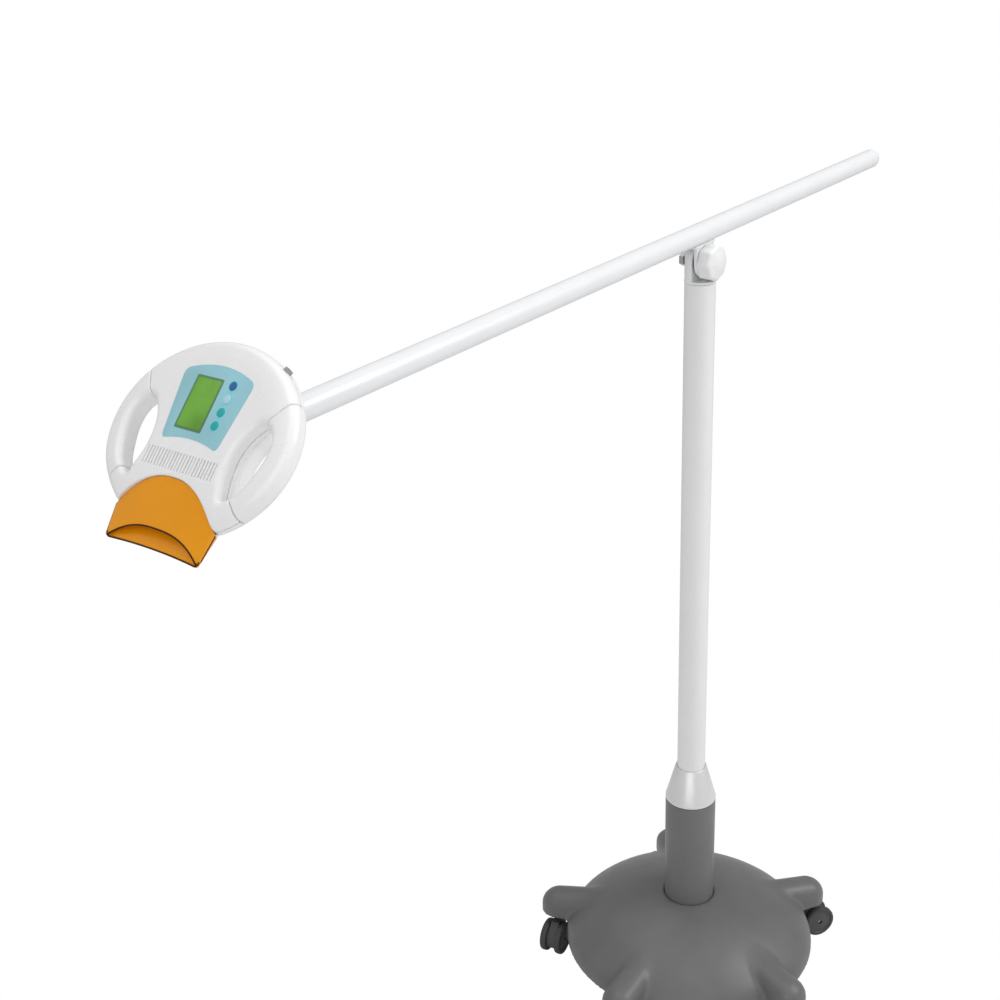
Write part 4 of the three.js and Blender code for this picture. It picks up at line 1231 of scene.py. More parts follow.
@dataclass
class Arm:
    """Round arm tube with a domed end cap."""

    rig: Rig
    sizes: ArmSizes = field(default_factory=ArmSizes)

    def build(self) -> None:
        """Make the tube and the cap."""
        s = self.sizes
        inner, outer = s.radius - s.wall, s.radius
        tube = [(inner, s.front), (outer - s.front_edge, s.front)]
        tube += [(outer, s.front + s.front_edge)]
        tube += [(outer, s.rear - s.edge), (outer - s.edge, s.rear), (inner, s.rear)]
        self.rig.turn("arm_tube", ARM_PAINT, arm_rod_place(), tube)
        seat = s.rear + s.cap_gap
        top, bore = seat + s.cap_length, inner - s.plug_play
        cap = [(0.0, seat - s.plug), (bore, seat - s.plug), (bore, seat)]
        cap += [(outer - s.edge, seat), (outer, seat + s.edge)]
        for across, rise in arc(0.0, 0.9, 9, s.cap_round, s.cap_length - s.edge)[1:]:
            cap.append((outer - s.cap_round + across, seat + s.edge + rise))
        tip = top + s.pip_length
        cap.append((s.pip, top))
        cap += [(s.pip - inset, tip - drop) for inset, drop in s.pip_table]
        cap.append((0.0, tip))
        self.rig.turn("arm_end_cap", ARM_PAINT, arm_rod_place(), cap)


@dataclass(frozen=True)
class WristSizes:
    """Sizes of the wrist's knuckle, knob and bracket, in millimetres."""

    collar_near: float = 24.7
    collar_far: float = 31.6
    collar_radius: float = 12.6
    spigot_radius: float = 8.0
    spigot_far: float = 66.0
    eye_radius: float = 11.0
    eye_half: float = 5.9
    neck_half: float = 8.8
    cheek: float = 5.0
    pin: float = 4.3
    lock_radius: float = 13.8
    lock_near: float = 12.0
    lock_far: float = 23.7
    lock_bore: float = 8.0
    lock_foot_edge: float = 1.0
    lock_face_edge: float = 2.0
    lock_segments: int = 60
    neck_end: float = 27.0
    cheek_gap: float = 0.7
    cheek_top: float = -48.0
    collar_edge: float = 0.7
    spigot_edge: float = 0.6
    back_edge: float = 1.2
    knuckle_blend: float = 1.6
    bracket_blend: float = 2.0
    soft: float = 0.8
    back: tuple[Point, Point] = ((-34.7, -15.9, -49.3), (9.3, 15.9, -46.4))
    knuckle_box: tuple[Point, Point] = ((-13.0, -15.0, -15.0), (69.0, 15.0, 15.0))
    bracket_box: tuple[Point, Point] = ((-38.0, -19.0, -81.0), (12.0, 19.0, -44.0))
    step: float = 0.6


@dataclass
class Wrist:
    """Knuckle at the arm's end, its lock knob and the head's bracket."""

    rig: Rig
    sizes: WristSizes = field(default_factory=WristSizes)

    def build(self) -> None:
        """Make the wrist's pieces."""
        s = self.sizes
        knuckle = Sculpt(wrist_place(), *s.knuckle_box, s.step, self.knuckle_distance)
        self.rig.sculpt("wrist_knuckle", ARM_PAINT, knuckle)
        bracket = Sculpt(head_place(), *s.bracket_box, s.step, self.bracket_distance)
        self.rig.sculpt("head_bracket", BRACKET_GREY, bracket)
        self._lock()

    def knuckle_distance(self, x: Array, y: Array, z: Array) -> Array:
        """Distance to the knuckle in the wrist's frame."""
        s = self.sizes
        radial, turn = np.hypot(y, z), np.hypot(x, z)
        collar = slab(radial - s.collar_radius, x, s.collar_near, s.collar_far, s.collar_edge)
        spigot = slab(radial - s.spigot_radius, x, s.collar_near, s.spigot_far, s.spigot_edge)
        neck = common(np.abs(z) - s.neck_half, -x, x - s.neck_end)
        tongue = slab(joined(turn - s.eye_radius, neck), y, -s.eye_half, s.eye_half, s.soft)
        return common(smooth_min(joined(collar, spigot), tongue, s.knuckle_blend), s.pin - turn)

    def bracket_distance(self, x: Array, y: Array, z: Array) -> Array:
        """Distance to the bracket in the head's frame."""
        s = self.sizes
        back = box_distance(x, y, z, *s.back, s.back_edge)
        inner = s.eye_half + s.cheek_gap
        turn = np.hypot(x + EYE_BACK, z + EYE_DROP)
        leg = common(np.abs(x + EYE_BACK) - s.eye_radius, -(z + EYE_DROP), z - s.cheek_top)
        cheek = slab(joined(turn - s.eye_radius, leg), np.abs(y), inner, inner + s.cheek, s.soft)
        return common(smooth_min(back, cheek, s.bracket_blend), s.pin - turn)

    def _lock(self) -> None:
        """Make the lock knob on the far side."""
        s = self.sizes
        near, far, r, bore = s.lock_near, s.lock_far, s.lock_radius, s.lock_near + s.lock_bore
        foot, face = s.lock_foot_edge, s.lock_face_edge
        knee = KNEE_SHARE * face
        profile = [(s.pin, near), (r - foot, near), (r, near + foot), (r, far - face)]
        profile += [(r - knee, far - knee), (r - face, far), (0.0, far), (0.0, bore), (s.pin, bore)]
        place = across_place(wrist_place().origin, (0.0, 1.0, 0.0))
        self.rig.turn("wrist_lock_knob", KNOB_WHITE, place, profile, s.lock_segments)


@dataclass(frozen=True)
class HeadSizes:
    """Sizes of the lamp head in its own frame, in millimetres."""

    centre: float = 25.4
    half_width: float = 103.3
    half_length: float = 86.3
    depth: float = 21.9
    edge: float = 6.5
    front: float = 97.8
    belly_low: float = -45.9
    belly_round: float = 15.0
    seam: float = -12.5
    seam_gap: float = 0.7
    wall: float = 2.8
    nose_slope_start: float = 58.0
    nose_slope: float = 0.5
    fall_band: float = 24.0
    fall: float = 3.2
    nose_fall: float = 5.0
    handle_gap: float = 0.35
    handle_inside: float = 60.0
    shield_play: float = 0.3
    oval_points: int = 240
    nose_blend: float = 3.0
    gap_blend: float = 2.0
    ring_blend: float = 3.0
    slope_blend: float = 6.0
    hollow_blend: float = 2.0
    body_top: float = -8.0
    body_edge: float = 4.0
    hollow_top: float = 0.6
    hollow_drop: float = 7.0
    hollow_band: float = 8.0
    window: tuple[Point, Point] = ((86.0, -30.3, -18.8), (102.0, 30.3, -10.2))
    top_box: tuple[Point, Point] = ((-66.0, -108.0, -16.0), (106.0, 108.0, 3.0))
    bottom_box: tuple[Point, Point] = ((-66.0, -108.0, -49.0), (106.0, 108.0, -9.0))
    right_box: tuple[Point, Point] = ((-50.0, 57.0, -25.0), (104.0, 108.0, 3.0))
    left_box: tuple[Point, Point] = ((-50.0, -108.0, -25.0), (104.0, -57.0, 3.0))
    step: float = 1.05
    grip_step: float = 0.9
    gap_shares: tuple[tuple[float, float], ...] = (
        (0.575, -0.2), (0.505, -0.06), (0.475, 0.1), (0.48, 0.26), (0.515, 0.42), (0.56, 0.53),
        (0.69, 0.4), (0.765, 0.2), (0.8, 0.0), (0.775, -0.16), (0.7, -0.255), (0.63, -0.26),
    )
    belly_shares: tuple[tuple[float, float], ...] = (
        (0.3, -0.86), (0.5, -0.66), (0.57, -0.46), (0.52, -0.22), (0.455, -0.06), (0.425, 0.1),
        (0.43, 0.26), (0.46, 0.42), (0.49, 0.6), (0.5, 0.84),
    )
    joint_shares: tuple[tuple[tuple[float, float], ...], ...] = (
        ((0.58, -0.12), (0.98, -0.8)),
        ((0.9, 0.82), (0.58, 0.42)),
    )


@dataclass(frozen=True)
class ShieldSizes:
    """Sizes of the amber scoop in the head's frame, in millimetres."""

    wall: float = 2.2
    rear: float = 58.0
    front: float = 127.0
    apex: float = 65.0
    seat: float = 101.0
    arch_half: float = 62.6
    arch_bow: float = 2.3
    lip: float = 109.0
    lip_bow: float = 2.6
    rear_half: float = 65.8
    front_half: float = 56.8
    edge_rear: float = 11.0
    edge_front: float = 12.9
    crown_rear: float = 10.6
    crown_front: float = 2.3
    keel_rear: float = 19.0
    keel_front: float = 1.8
    crown_power: float = 2.0
    keel_power: float = 3.2
    corner: float = 4.2
    lower_bow: float = 2.4
    rim_bead: float = 0.75
    rim_points: int = 65
    rim_inset: float = 0.7
    rim_side_inset: float = 0.5
    rim_lift: float = 0.9
    edge_bead: float = 0.5
    edge_points: int = 9
    edge_start: float = 3.0
    edge_stop: float = 1.5
    edge_inset: float = 0.15
    nose_play: float = 0.4
    soft: float = 0.6
    box: tuple[Point, Point] = ((55.0, -70.0, -36.0), (130.0, 70.0, 3.0))
    step: float = 0.8

    def share(self, x: Value) -> Value:
        """How far along the scoop a station is, from 0 at the rear to 1 at the front."""
        return (x - self.rear) / (self.front - self.rear)

    def half(self, share: Value) -> Value:
        """Half width at a share of the length."""
        return self.rear_half + (self.front_half - self.rear_half) * share

    def edge(self, share: Value) -> Value:
        """Height of the widest line at a share of the length."""
        return -(self.edge_rear + (self.edge_front - self.edge_rear) * share)

    def crown(self, share: Value) -> Value:
        """Rise of the crown above the widest line."""
        return self.crown_rear + (self.crown_front - self.crown_rear) * share

    def keel(self, share: Value) -> Value:
        """Drop of the keel below the widest line."""
        return self.keel_rear + (self.keel_front - self.keel_rear) * share


@dataclass
class HeadForms:
    """Distance functions of the head's solids, all in the head's frame."""

    sizes: HeadSizes = field(default_factory=HeadSizes)
    shield: ShieldSizes = field(default_factory=ShieldSizes)

    def framed(self, shares: Spots) -> list[tuple[float, float]]:
        """Turn width and length shares into plan points."""
        s = self.sizes
        return [(s.centre + v * s.half_length, u * s.half_width) for u, v in shares]

    def plan(self, x: Array, y: Array, outline: Array) -> Array:
        """Plan distance to an outline over a three-dimensional grid."""
        return polygon_distance(x[:, :, 0], y[:, :, 0], outline)[:, :, None]

    def ring_plan(self, x: Array, y: Array) -> Array:
        """Plan distance to the oval, cut straight at the nose."""
        s = self.sizes
        turns = np.linspace(0.0, FULL_TURN, s.oval_points, endpoint=False)
        oval = np.stack([s.centre + s.half_length * np.cos(turns), s.half_width * np.sin(turns)], 1)
        return smooth_max(self.plan(x, y, oval), x[:, :, :1] - s.front, s.nose_blend)

    def gap_plan(self, x: Array, y: Array) -> Array:
        """Plan distance to the nearer of the two gaps."""
        outline = rounded_line(self.framed(self.sizes.gap_shares), True, 8)
        return self.plan(x, np.abs(y), outline)

    def belly_plan(self, x: Array, y: Array) -> Array:
        """Plan distance to the body between the gaps."""
        side = rounded_line(self.framed(self.sizes.belly_shares), False, 6)
        outline = np.concatenate([side, (side * np.array([1.0, -1.0]))[::-1]])
        return self.plan(x, y, outline)

    def roof(self, x: Array, oval: Array) -> Array:
        """Height of the top surface, falling softly to the oval's edge and the nose."""
        s = self.sizes
        share = np.clip(1.0 + oval / s.fall_band, 0.0, 1.0)
        ahead = np.clip((x - s.nose_slope_start) / (s.front - s.nose_slope_start), 0.0, 1.2)
        return -s.fall * share**2 - s.nose_fall * ahead**1.4

    def bowed_front(
        self, x: Array, y: Array, middle: float, side: float, half: float, bow: float
    ) -> Array:
        """Distance to the plan region in front of a bowed line.

        Args:
            x: First coordinates.
            y: Second coordinates.
            middle: The line's station on the centre line.
            side: Its station at half width.
            half: The half width.
            bow: Power of the bow.

        Returns:
            The distances.
        """
        share = np.abs(y) / half
        line = middle + (side - middle) * share**bow
        slope = (side - middle) * bow * share ** (bow - 1.0) / half
        return (line - x) / np.sqrt(1.0 + slope**2)

    def arch(self, x: Array, y: Array) -> Array:
        """Distance to the plan region in front of the shield's rear arch."""
        h = self.shield
        return self.bowed_front(x, y, h.apex, h.seat, h.arch_half, h.arch_bow)

    def mouth(self, x: Array, y: Array) -> Array:
        """Distance to the plan region in front of the shield's concave lip."""
        h = self.shield
        return self.bowed_front(x, y, h.lip, h.front, h.front_half, h.lip_bow)

    def shield_plan(self, x: Array, y: Array) -> Array:
        """Distance to the shield's plan: a slightly bowed front edge with round corners."""
        h = self.shield
        bowed = x + h.lower_bow * (1.0 - np.minimum((y / h.front_half) ** 2, 1.0))
        past = np.maximum(bowed - (h.front - h.corner), 0.0)
        beside = np.maximum(np.abs(y) - (h.half(h.share(x)) - h.corner), 0.0)
        return np.hypot(past, beside) - h.corner

    def scoop(self, x: Array, y: Array, z: Array) -> Array:
        """Distance to the filled scoop section, crowned above and keeled below."""
        h = self.shield
        share = np.clip(h.share(x), -0.05, 1.02)
        half, rise = h.half(share), z - h.edge(share)
        above = self._oval(y, rise, half, h.crown(share), h.crown_power)
        below = self._oval(y, rise, half, h.keel(share), h.keel_power)
        return np.where(rise > 0.0, above, below)

    def _oval(self, across: Array, rise: Array, a: Array, b: Array, power: float) -> Array:
        """First-order distance to a superellipse with the half axes a and b."""
        u, w = np.abs(across / a) + 1e-9, np.abs(rise / b) + 1e-9
        value = (u**power + w**power) ** (1.0 / power)
        pull = value ** (1.0 - power)
        slope = np.hypot(u ** (power - 1.0) * pull / a, w ** (power - 1.0) * pull / b)
        return (value - 1.0) / slope

    def shells(self, x: Array, y: Array, z: Array) -> Array:
        """Distance to the whole head body, hollow, without its seams."""
        s, h = self.sizes, self.shield
        belly, scoop, beyond = self.belly_plan(x, y), self.scoop(x, y, z), self.arch(x, y)
        slope = s.belly_low + (x - s.nose_slope_start) * s.nose_slope - z
        slope = slope / math.hypot(1.0, s.nose_slope)
        low_round = smooth_max(belly, s.belly_low - z, s.belly_round)
        body = common(slab(belly, z, s.belly_low, s.body_top, s.body_edge), low_round)
        body = smooth_max(body, slope, s.slope_blend)
        outside = smooth_min(self.ring(x, y, z), body, s.ring_blend)
        shadow = common(joined(scoop - s.shield_play, -h.edge_rear - z), beyond)
        core = scoop + h.wall + s.shield_play
        plug = common(core, beyond + h.wall, x - s.front)
        whole = joined(common(outside, -shadow, slope), plug)
        skin = common(scoop - s.shield_play, -core, beyond - s.shield_play)
        whole = common(whole, -skin)
        lower = s.hollow_drop * np.clip((s.hollow_band - beyond) / s.hollow_band, 0.0, 1.0)
        ceiling = z + s.wall + s.hollow_top + lower
        hollow = common(belly + s.wall, s.belly_low + s.wall - z, ceiling)
        hollow = smooth_max(hollow, slope + s.wall, s.hollow_blend)
        return common(whole, -common(hollow, low_round + s.wall))

    def ring(self, x: Array, y: Array, z: Array) -> Array:
        """Distance to the flat ring with its two gaps."""
        s = self.sizes
        oval = self.ring_plan(x, y)
        roof = self.roof(x, oval)
        plan = smooth_max(oval, -self.gap_plan(x, y), s.gap_blend)
        return slab(plan, z - roof, -s.depth - roof, 0.0, s.edge)

    def wedge(self, x: Array, y: Array) -> Array:
        """Distance to the plan wedge of the handles on both sides."""
        reach = np.abs(y)
        sides = []
        for shares in self.sizes.joint_shares:
            (ax, ay), (bx, by) = self.framed(shares)
            length = math.hypot(bx - ax, by - ay)
            sides.append(((bx - ax) * (reach - ay) - (by - ay) * (x - ax)) / length)
        return common(*sides, self.sizes.handle_inside - reach)

    def housing(self, x: Array, y: Array, z: Array) -> Array:
        """Distance to the head body without its handles."""
        return common(self.shells(x, y, z), self.sizes.handle_gap - self.wedge(x, y))

    def top(self, x: Array, y: Array, z: Array) -> Array:
        """Distance to the top shell."""
        return common(self.housing(x, y, z), self.sizes.seam - z)

    def bottom(self, x: Array, y: Array, z: Array) -> Array:
        """Distance to the bottom shell, with the light's window in its nose."""
        s = self.sizes
        window = box_distance(x, y, z, *s.window)
        return common(self.housing(x, y, z), z - s.seam + s.seam_gap, -window)

    def handle(self, x: Array, y: Array, z: Array) -> Array:
        """Distance to both handles."""
        return common(self.shells(x, y, z), self.wedge(x, y) + self.sizes.handle_gap)

    def amber(self, x: Array, y: Array, z: Array) -> Array:
        """Distance to the amber scoop."""
        h = self.shield
        scoop, below = self.scoop(x, y, z), z + h.edge_front
        skin = smooth_max(scoop, -(scoop + h.wall), h.soft)
        skin = common(skin, self.arch(x, y), self.shield_plan(x, y))
        skin = common(skin, -common(x - self.sizes.front - h.nose_play, below))
        return smooth_max(skin, -common(self.mouth(x, y), -below), h.soft)


def outline_plate(
    name: str, place: Place, outline: Spots, low: float, high: float, soften: float
) -> Piece:
    """Plate of a plan outline with a softened top edge.

    Args:
        name: Name of the new piece.
        place: Frame of the outline.
        outline: Closed plan outline, anticlockwise.
        low: Underside in millimetres.
        high: Top in millimetres.
        soften: Size of the bevelled top edge in millimetres.

    Returns:
        The closed plate.
    """
    spots = np.array(outline, dtype=float)
    middle = spots.mean(axis=0)
    reach = np.abs(spots - middle).max()
    knee = KNEE_SHARE * soften
    levels = [(low, 0.0), (high - soften, 0.0), (high - knee, knee), (high, soften)]
    count = len(spots)
    points: list[Point] = []
    for height, inset in levels:
        for spot in middle + (spots - middle) * (1.0 - inset / reach):
            points.append((spot[0], spot[1], height))
    top = (len(levels) - 1) * count
    ends = list(range(count))[::-1], list(range(top, top + count))
    faces = [ends[0], *ring_faces(count, len(levels)), ends[1]]
    piece = mesh_object(name, place.out(np.array(points)), faces)
    smooth(piece, 30.0)
    return piece


@dataclass(frozen=True)
class PanelSizes:
    """Sizes of the panel film, its display and its keys, in millimetres."""

    rear: float = -27.0
    front: float = 36.0
    rear_half: float = 41.6
    front_half: float = 33.1
    rear_bulge: float = 8.9
    front_dip: float = 5.0
    edge_points: int = 15
    corner: float = 7.0
    corner_share: float = 0.9
    corner_steps: int = 7
    film_low: float = -0.4
    film_high: float = 0.28
    film_soften: float = 0.15
    display_y: float = -8.4
    display_width: float = 32.0
    display_length: float = 49.0
    display_corner: float = 1.6
    display_border: float = 2.2
    display_corner_share: float = 0.45
    display_corner_steps: int = 6
    display_soften: float = 0.1
    pane_low: float = -2.0
    pane_rise: float = 0.12
    field_sink: float = 0.3
    field_rise: float = 0.24
    key_y: float = 19.5
    key_radius: float = 4.0
    key_foot: float = -9.0
    # Inset from the side and height of the points of a key's dome.
    key_table: Spots = ((0.0, 0.75), (0.35, 1.05), (1.2, 1.14))
    key_top: float = 1.18
    key_taper: tuple[float, float] = (0.1, 0.2)
    ring_gap: float = 0.3
    ring_width: float = 1.2
    ring_heights: tuple[float, float] = (0.4, 0.36)
    segments: int = 48
    key_stations: tuple[float, ...] = (-21.0, -9.0, 3.0, 15.0)


@dataclass
class Panel:
    """Blue film with a green display and four round keys."""

    rig: Rig
    place: Place
    sizes: PanelSizes = field(default_factory=PanelSizes)

    def build(self) -> None:
        """Make the film, the display and the keys."""
        self._film()
        self._display()
        self._keys()

    def _film(self) -> None:
        """Make the film: bulging at the rear, dipping at the front, with round corners."""
        s = self.sizes
        last = s.edge_points - 1
        spread = np.linspace(-1.0, 1.0, s.edge_points)
        rear = [(s.rear - s.rear_bulge * (1 - u * u), -u * s.rear_half) for u in spread]
        fore = [(s.front - s.front_dip * (1 - u * u), u * s.front_half) for u in spread]
        corners = (0, last, last + 1, 2 * last + 1)
        outline = soft_outline(rear + fore, corners, s.corner, s.corner_share, s.corner_steps)
        levels = (s.film_low, s.film_high, s.film_soften)
        film = outline_plate("panel_overlay_film", self.place, outline, *levels)
        self.rig.stand(film, OVERLAY_BLUE, "panel_overlay")

    def _display(self) -> None:
        """Make the display window and the field inside its darker border."""
        s = self.sizes
        top = s.film_high
        pane = self._pane("lcd_window_pane", 0.0, s.pane_low, top + s.pane_rise)
        self.rig.stand(pane, DISPLAY_EDGE, "lcd_window")
        low, high = top - s.field_sink, top + s.field_rise
        inside = self._pane("lcd_window_field", s.display_border, low, high)
        self.rig.add(inside, DISPLAY_GREEN, "head")

    def _pane(self, name: str, inset: float, low: float, high: float) -> Piece:
        """Make one rectangular plate of the display."""
        s = self.sizes
        long, wide = s.display_length / 2 - inset, s.display_width / 2 - inset
        corners = [(-long, s.display_y - wide), (long, s.display_y - wide)]
        corners += [(long, s.display_y + wide), (-long, s.display_y + wide)]
        bend = (s.display_corner, s.display_corner_share, s.display_corner_steps)
        outline = soft_outline(corners, range(len(corners)), *bend)
        return outline_plate(name, self.place, outline, low, high, s.display_soften)

    def _keys(self) -> None:
        """Make the four keys as low domes in pale rings."""
        s = self.sizes
        r, foot = s.key_radius, s.key_foot
        inner = r + s.ring_gap
        outer = inner + s.ring_width
        dome = [*((r - inset, height) for inset, height in s.key_table), (0.0, s.key_top)]
        key = [(0.0, foot), (r - s.key_taper[0], foot), (r, foot + s.key_taper[1]), *dome]
        ring = [(inner, 0.0), (outer, 0.0), (outer, s.ring_heights[1]), (inner, s.ring_heights[0])]
        finishes = (KEY_DARK, KEY_PALE, KEY_TEAL, KEY_TEAL)
        for number, (station, finish) in enumerate(zip(s.key_stations, finishes), 1):
            own = self.place.moved(station, s.key_y, 0.0)
            node = f"key_{number}"
            self.rig.stand(turned_piece(node + "_cap", own, key, s.segments), finish, node)
            self.rig.add(turned_piece(node + "_ring", own, ring, s.segments), KEY_RING, "head")


def repeat_by_nodes(seed: Piece, label: str, count: int, pitch: Point) -> None:
    """Repeat an object along a line with a node tree, then keep the plain mesh.

    Args:
        seed: The object to repeat; it becomes the whole row.
        label: Name of the node tree.
        count: How many copies.
        pitch: Step from copy to copy in metres.
    """
    tree = bpy.data.node_groups.new(label, "GeometryNodeTree")
    sockets = {}
    face = tree.interface
    for name, kind in (("Geometry", "Geometry"), ("Count", "Int"), ("Pitch", "Vector")):
        kind = "NodeSocket" + kind
        sockets[name] = face.new_socket(name=name, in_out="INPUT", socket_type=kind)
    face.new_socket(name="Geometry", in_out="OUTPUT", socket_type="NodeSocketGeometry")
    source = add_node(tree, "NodeGroupInput").outputs
    row = {"Count": source["Count"], "Offset": source["Pitch"]}
    line = add_node(tree, "GeometryNodeMeshLine", row)
    line.mode = "OFFSET"
    spread = {"Points": line.outputs["Mesh"], "Instance": source["Geometry"]}
    scatter = add_node(tree, "GeometryNodeInstanceOnPoints", spread)
    copies = {"Geometry": scatter.outputs["Instances"]}
    solid = add_node(tree, "GeometryNodeRealizeInstances", copies)
    add_node(tree, "NodeGroupOutput", {"Geometry": solid.outputs["Geometry"]})
    modifier = seed.modifiers.new(label, "NODES")
    modifier.node_group = tree
    modifier[sockets["Count"].identifier] = count
    modifier[sockets["Pitch"].identifier] = pitch
    apply_modifiers(seed)


def carve(piece: Piece, cutter: Piece) -> None:
    """Cut one piece by another and remove the cutter."""
    modifier = piece.modifiers.new("carve", "BOOLEAN")
    modifier.operation = "DIFFERENCE"
    modifier.solver = "EXACT"
    modifier.object = cutter
    apply_modifiers(piece)
    bpy.data.objects.remove(cutter, do_unlink=True)


@dataclass(frozen=True)
class VentSizes:
    """Sizes of the vent slots in front of the panel, in millimetres."""

    count: int = 24
    start: float = -41.5
    end: float = 40.5
    rear: float = 44.0
    front: float = 60.0
    width: float = 1.7
    depth: float = 3.6
    above: float = 1.5
    soften: float = 0.05
    end_steps: int = 12


@dataclass
class VentCutters:
    """Row of round-ended slot cutters, repeated by a node tree."""

    place: Place
    sizes: VentSizes = field(default_factory=VentSizes)

    def build(self) -> Piece:
        """Build the cutter row.

        Returns:
            All cutters in one object, in the part's frame.
        """
        s = self.sizes
        half = s.width / 2
        straight = (s.front - s.rear) / 2 - half
        outline = [(straight + x, y) for x, y in arc(-1.0, 1.0, s.end_steps, half, half)]
        outline += [(x - straight, y) for x, y in arc(1.0, 3.0, s.end_steps, half, half)]
        own = self.place.moved((s.front + s.rear) / 2, s.start, 0.0)
        seed = outline_plate("vent_cutter", own, outline, -s.depth, s.above, s.soften)
        pitch = self.place.y * (s.end - s.start) / (s.count - 1) * MM
        repeat_by_nodes(seed, "vent_row", s.count, tuple(map(float, pitch)))
        return seed


@dataclass
class LampHead:
    """Housing, handles, amber scoop and panel of the head."""

    rig: Rig
    place: Place = field(default_factory=head_place)
    forms: HeadForms = field(default_factory=HeadForms)

    def build(self) -> None:
        """Make the head's pieces."""
        place, forms = self.place, self.forms
        s, h = forms.sizes, forms.shield
        top = Sculpt(place, *s.top_box, s.step, forms.top)
        top = top.build("top_shell_smooth")
        carve(top, VentCutters(place).build())
        self.rig.stand(top, HEAD_WHITE, "top_shell")
        bottom = Sculpt(place, *s.bottom_box, s.step, forms.bottom)
        self.rig.sculpt("bottom_shell", HEAD_WHITE, bottom)
        for name, box in (("handle_right", s.right_box), ("handle_left", s.left_box)):
            grip = Sculpt(place, *box, s.grip_step, forms.handle)
            self.rig.sculpt(name, HEAD_WHITE, grip)
        amber = Sculpt(place, *h.box, h.step, forms.amber)
        self.rig.sculpt("amber_shield", AMBER, amber)
        self._rim()
        self._edges()
        Panel(self.rig, place).build()

    def _rim(self) -> None:
        """Run a thin dark bead round the scoop's mouth as painted shade, where its cut edge shows.
        """
        h = self.forms.shield
        half, inset = h.front_half - h.rim_side_inset, h.rim_inset
        upper, lower = [], []
        for u in np.sin(np.linspace(-math.pi / 2, math.pi / 2, h.rim_points)):
            beside = max(abs(u) * half - (half - h.corner), 0.0)
            limit = h.front - h.corner + math.sqrt(max(h.corner**2 - beside**2, 0.0)) - inset
            limit -= h.lower_bow * (1.0 - u * u)
            forward = min(h.lip + (h.front - h.lip) * abs(u) ** h.lip_bow - inset, limit)
            share = h.share(forward)
            rise = h.crown(share) * math.sqrt(max(1.0 - u * u, 0.0))
            upper.append((forward, u * half, h.edge(share) + rise))
            drop = h.keel_front * (1.0 - abs(u) ** h.keel_power) ** (1.0 / h.keel_power)
            lower.append((limit, u * half, -h.edge_front - drop + h.rim_lift))
        self._shade_bead("amber_shield_rim_shade", upper + lower[::-1], h.rim_bead, True)

    def _edges(self) -> None:
        """Run a thin dark bead of painted shade along each side edge of the scoop, where the amber
        looks darker.
        """
        h = self.forms.shield
        start, stop = h.seat - h.edge_start, h.front - h.corner - h.edge_stop
        for name, side in (("left", -1.0), ("right", 1.0)):
            spots = []
            for x in np.linspace(start, stop, h.edge_points):
                share = h.share(x)
                spots.append((x, side * (h.half(share) - h.edge_inset), h.edge(share)))
            self._shade_bead("amber_shield_edge_shade_" + name, spots, h.edge_bead, False)

    def _shade_bead(self, name: str, path: Sequence[Point], radius: float, closed: bool) -> None:
        """Add a round dark bead of painted shade.

        Args:
            name: Name of the new piece.
            path: Points of its middle line in the head's millimetres.
            radius: Its radius in millimetres.
            closed: Whether the line comes back to its start.
        """
        curve = bpy.data.curves.new(name, "CURVE")
        curve.dimensions = "3D"
        curve.bevel_depth = radius * MM
        curve.bevel_resolution = 3
        curve.use_fill_caps = not closed
        line = curve.splines.new("POLY")
        line.points.add(len(path) - 1)
        line.use_cyclic_u = closed
        for point, spot in zip(line.points, self.place.out(np.array(path))):
            point.co = (*map(float, spot), 1.0)
        drawn = linked(name + "_line", curve)
        bead = linked(name, evaluated_mesh(drawn))
        bpy.data.objects.remove(drawn, do_unlink=True)
        smooth(bead, 60.0)
        self.rig.add(bead, AMBER_EDGE_SHADE, "head")


CARRIED: dict[Finish, tuple[str, ...]] = {
    IRON: ("base_plate", "ballast_weight"),
    FORK_GREY: tuple(f"caster_{number}_fork" for number in range(1, 6)),
    STEEL: (
        *(f"caster_{number}_axle" for number in range(1, 6)),
        *("tie_bolt", "pivot_bolt", "arm_counterweight", "wrist_pin"),
    ),
    BLACK_PLASTIC: (
        *("socket_bush", "friction_disc", "arm_front_bush", "lcd_module"),
        *("fan_frame", "fan_rotor"),
    ),
    BOARD_GREEN: ("control_board", "led_board"),
    LENS: ("light_lens",),
    ALUMINIUM: ("heat_sink",),
    INLET_GREY: ("dc_inlet",),
}


@dataclass(frozen=True)
class CameraSizes:
    """Place and lens of the photograph's camera."""

    spot: Point = (-1.3470, -0.9083, 1.4994)
    heading: tuple[float, float] = (0.7804, 0.6252)
    pitch: float = 0.39905
    roll: float = -0.03647
    lens: float = 54.0
    sensor: float = 36.0
    nearest: float = 0.01
    farthest: float = 50.0


@dataclass(frozen=True)
class Lamp:
    """A soft square light: its place, what it is aimed at, its side in metres and its watts."""

    name: str
    spot: Point
    target: Point
    size: float
    watts: float


LAMPS = (
    Lamp("key_light", (1.3, -2.2, 2.9), (-0.1, 0.0, 0.8), 1.8, 53.0),
    Lamp("fill_light", (-2.4, -1.2, 1.8), (-0.1, 0.0, 0.8), 2.2, 17.0),
    Lamp("top_light", (-0.3, 0.3, 3.3), (-0.2, 0.0, 0.6), 2.6, 20.0),
)


FLOOR_SIZE = 30.0
FLOOR_DROP = 0.5 * MM
FLOOR_LOOK = {"Base Color": (0.82, 0.82, 0.83, 1.0), "Roughness": 0.8}
ROOM_LIGHT = {"Color": WHITE, "Strength": 0.5}
BACKDROP = {"Color": WHITE, "Strength": 1.0}


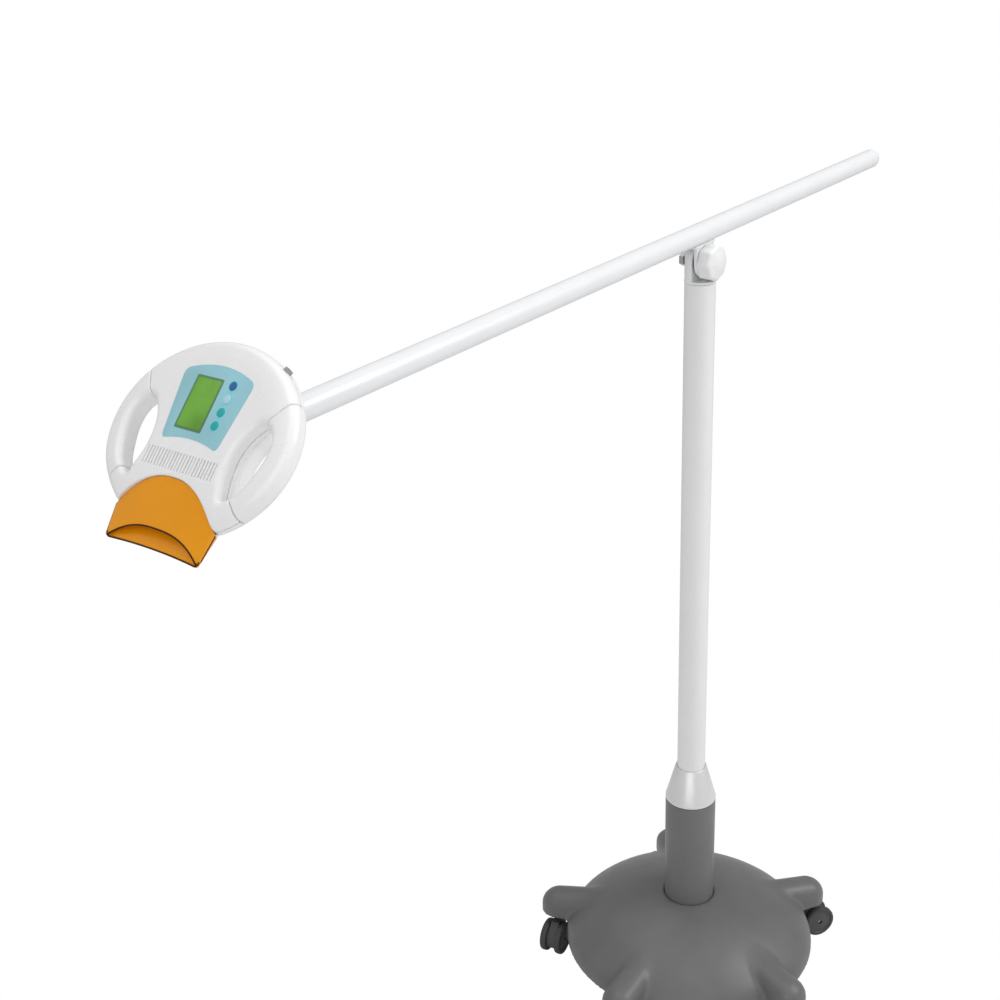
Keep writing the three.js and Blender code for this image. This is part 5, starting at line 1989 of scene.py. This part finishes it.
@dataclass
class Studio:
    """Camera, soft lights, floor and backdrop."""

    camera: CameraSizes = field(default_factory=CameraSizes)

    def build(self) -> None:
        """Set the scene around the lamp."""
        self._camera()
        for lamp in LAMPS:
            self._light(lamp)
        self._floor()
        self._world()

    def _camera(self) -> None:
        """Place the camera by its own axes."""
        s = self.camera
        hx, hy = unit(np.array(s.heading))
        forward = Vector((hx * math.cos(s.pitch), hy * math.cos(s.pitch), -math.sin(s.pitch)))
        right = Vector((hy, -hx, 0.0))
        up = right.cross(forward)
        rolled = right * math.cos(s.roll) + up * math.sin(s.roll)
        up = up * math.cos(s.roll) - right * math.sin(s.roll)
        data = bpy.data.cameras.new("photo_camera")
        data.lens, data.sensor_width = s.lens, s.sensor
        data.clip_start, data.clip_end = s.nearest, s.farthest
        thing = linked("photo_camera", data)
        turn = Matrix((rolled, up, -forward)).transposed().to_4x4()
        thing.matrix_world = Matrix.Translation(Vector(s.spot)) @ turn
        bpy.context.scene.camera = thing

    def _light(self, lamp: Lamp) -> None:
        """Add one light."""
        data = bpy.data.lights.new(lamp.name, "AREA")
        data.shape, data.size, data.energy = "SQUARE", lamp.size, lamp.watts
        thing = linked(lamp.name, data)
        thing.location = lamp.spot
        aim = Vector(lamp.target) - Vector(lamp.spot)
        thing.rotation_euler = aim.to_track_quat("-Z", "Y").to_euler()

    def _split(self, tree: Tree, end: str, room: Node, plain: Node) -> None:
        """Show the camera one shader and every other ray another.

        Args:
            tree: Tree of the floor or the world.
            end: Name of its output node.
            room: Node that the other rays meet.
            plain: Node that the camera sees.
        """
        seen = add_node(tree, "ShaderNodeLightPath").outputs["Is Camera Ray"]
        both = {"Fac": seen, 1: room.outputs[0], 2: plain.outputs[0]}
        mix = add_node(tree, "ShaderNodeMixShader", both)
        feed(tree, tree.nodes[end], {"Surface": mix.outputs["Shader"]})

    def _floor(self) -> None:
        """Lay a wide pale floor that shows as plain white to the camera."""
        bpy.ops.mesh.primitive_plane_add(size=FLOOR_SIZE, location=(0.0, 0.0, -FLOOR_DROP))
        floor = bpy.context.active_object
        floor.name = "studio_floor"
        made = bpy.data.materials.new("studio_floor")
        made.use_nodes = True
        tree = made.node_tree
        room = feed(tree, tree.nodes["Principled BSDF"], FLOOR_LOOK)
        plain = add_node(tree, "ShaderNodeEmission", {"Color": WHITE})
        self._split(tree, "Material Output", room, plain)
        floor.data.materials.append(made)

    def _world(self) -> None:
        """Fill the room with even light and show plain white to the camera."""
        world = bpy.data.worlds.new("studio_world")
        bpy.context.scene.world = world
        world.use_nodes = True
        tree = world.node_tree
        room = feed(tree, tree.nodes["Background"], ROOM_LIGHT)
        plain = add_node(tree, "ShaderNodeBackground", BACKDROP)
        self._split(tree, "World Output", room, plain)


def main() -> None:
    """Build the lamp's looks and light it."""
    logging.basicConfig(level=logging.INFO, format="%(name)s: %(message)s")
    rig = Rig(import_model())
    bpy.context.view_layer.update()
    for finish, nodes in CARRIED.items():
        for node in nodes:
            rig.paint(node, finish)
    for group in (Column, BaseCover, Casters, TiltJoint, Arm, Wrist, LampHead):
        group(rig).build()
    Studio().build()
    scene = bpy.context.scene
    scene.view_settings.view_transform = "Standard"


if __name__ == "__main__":
    main()
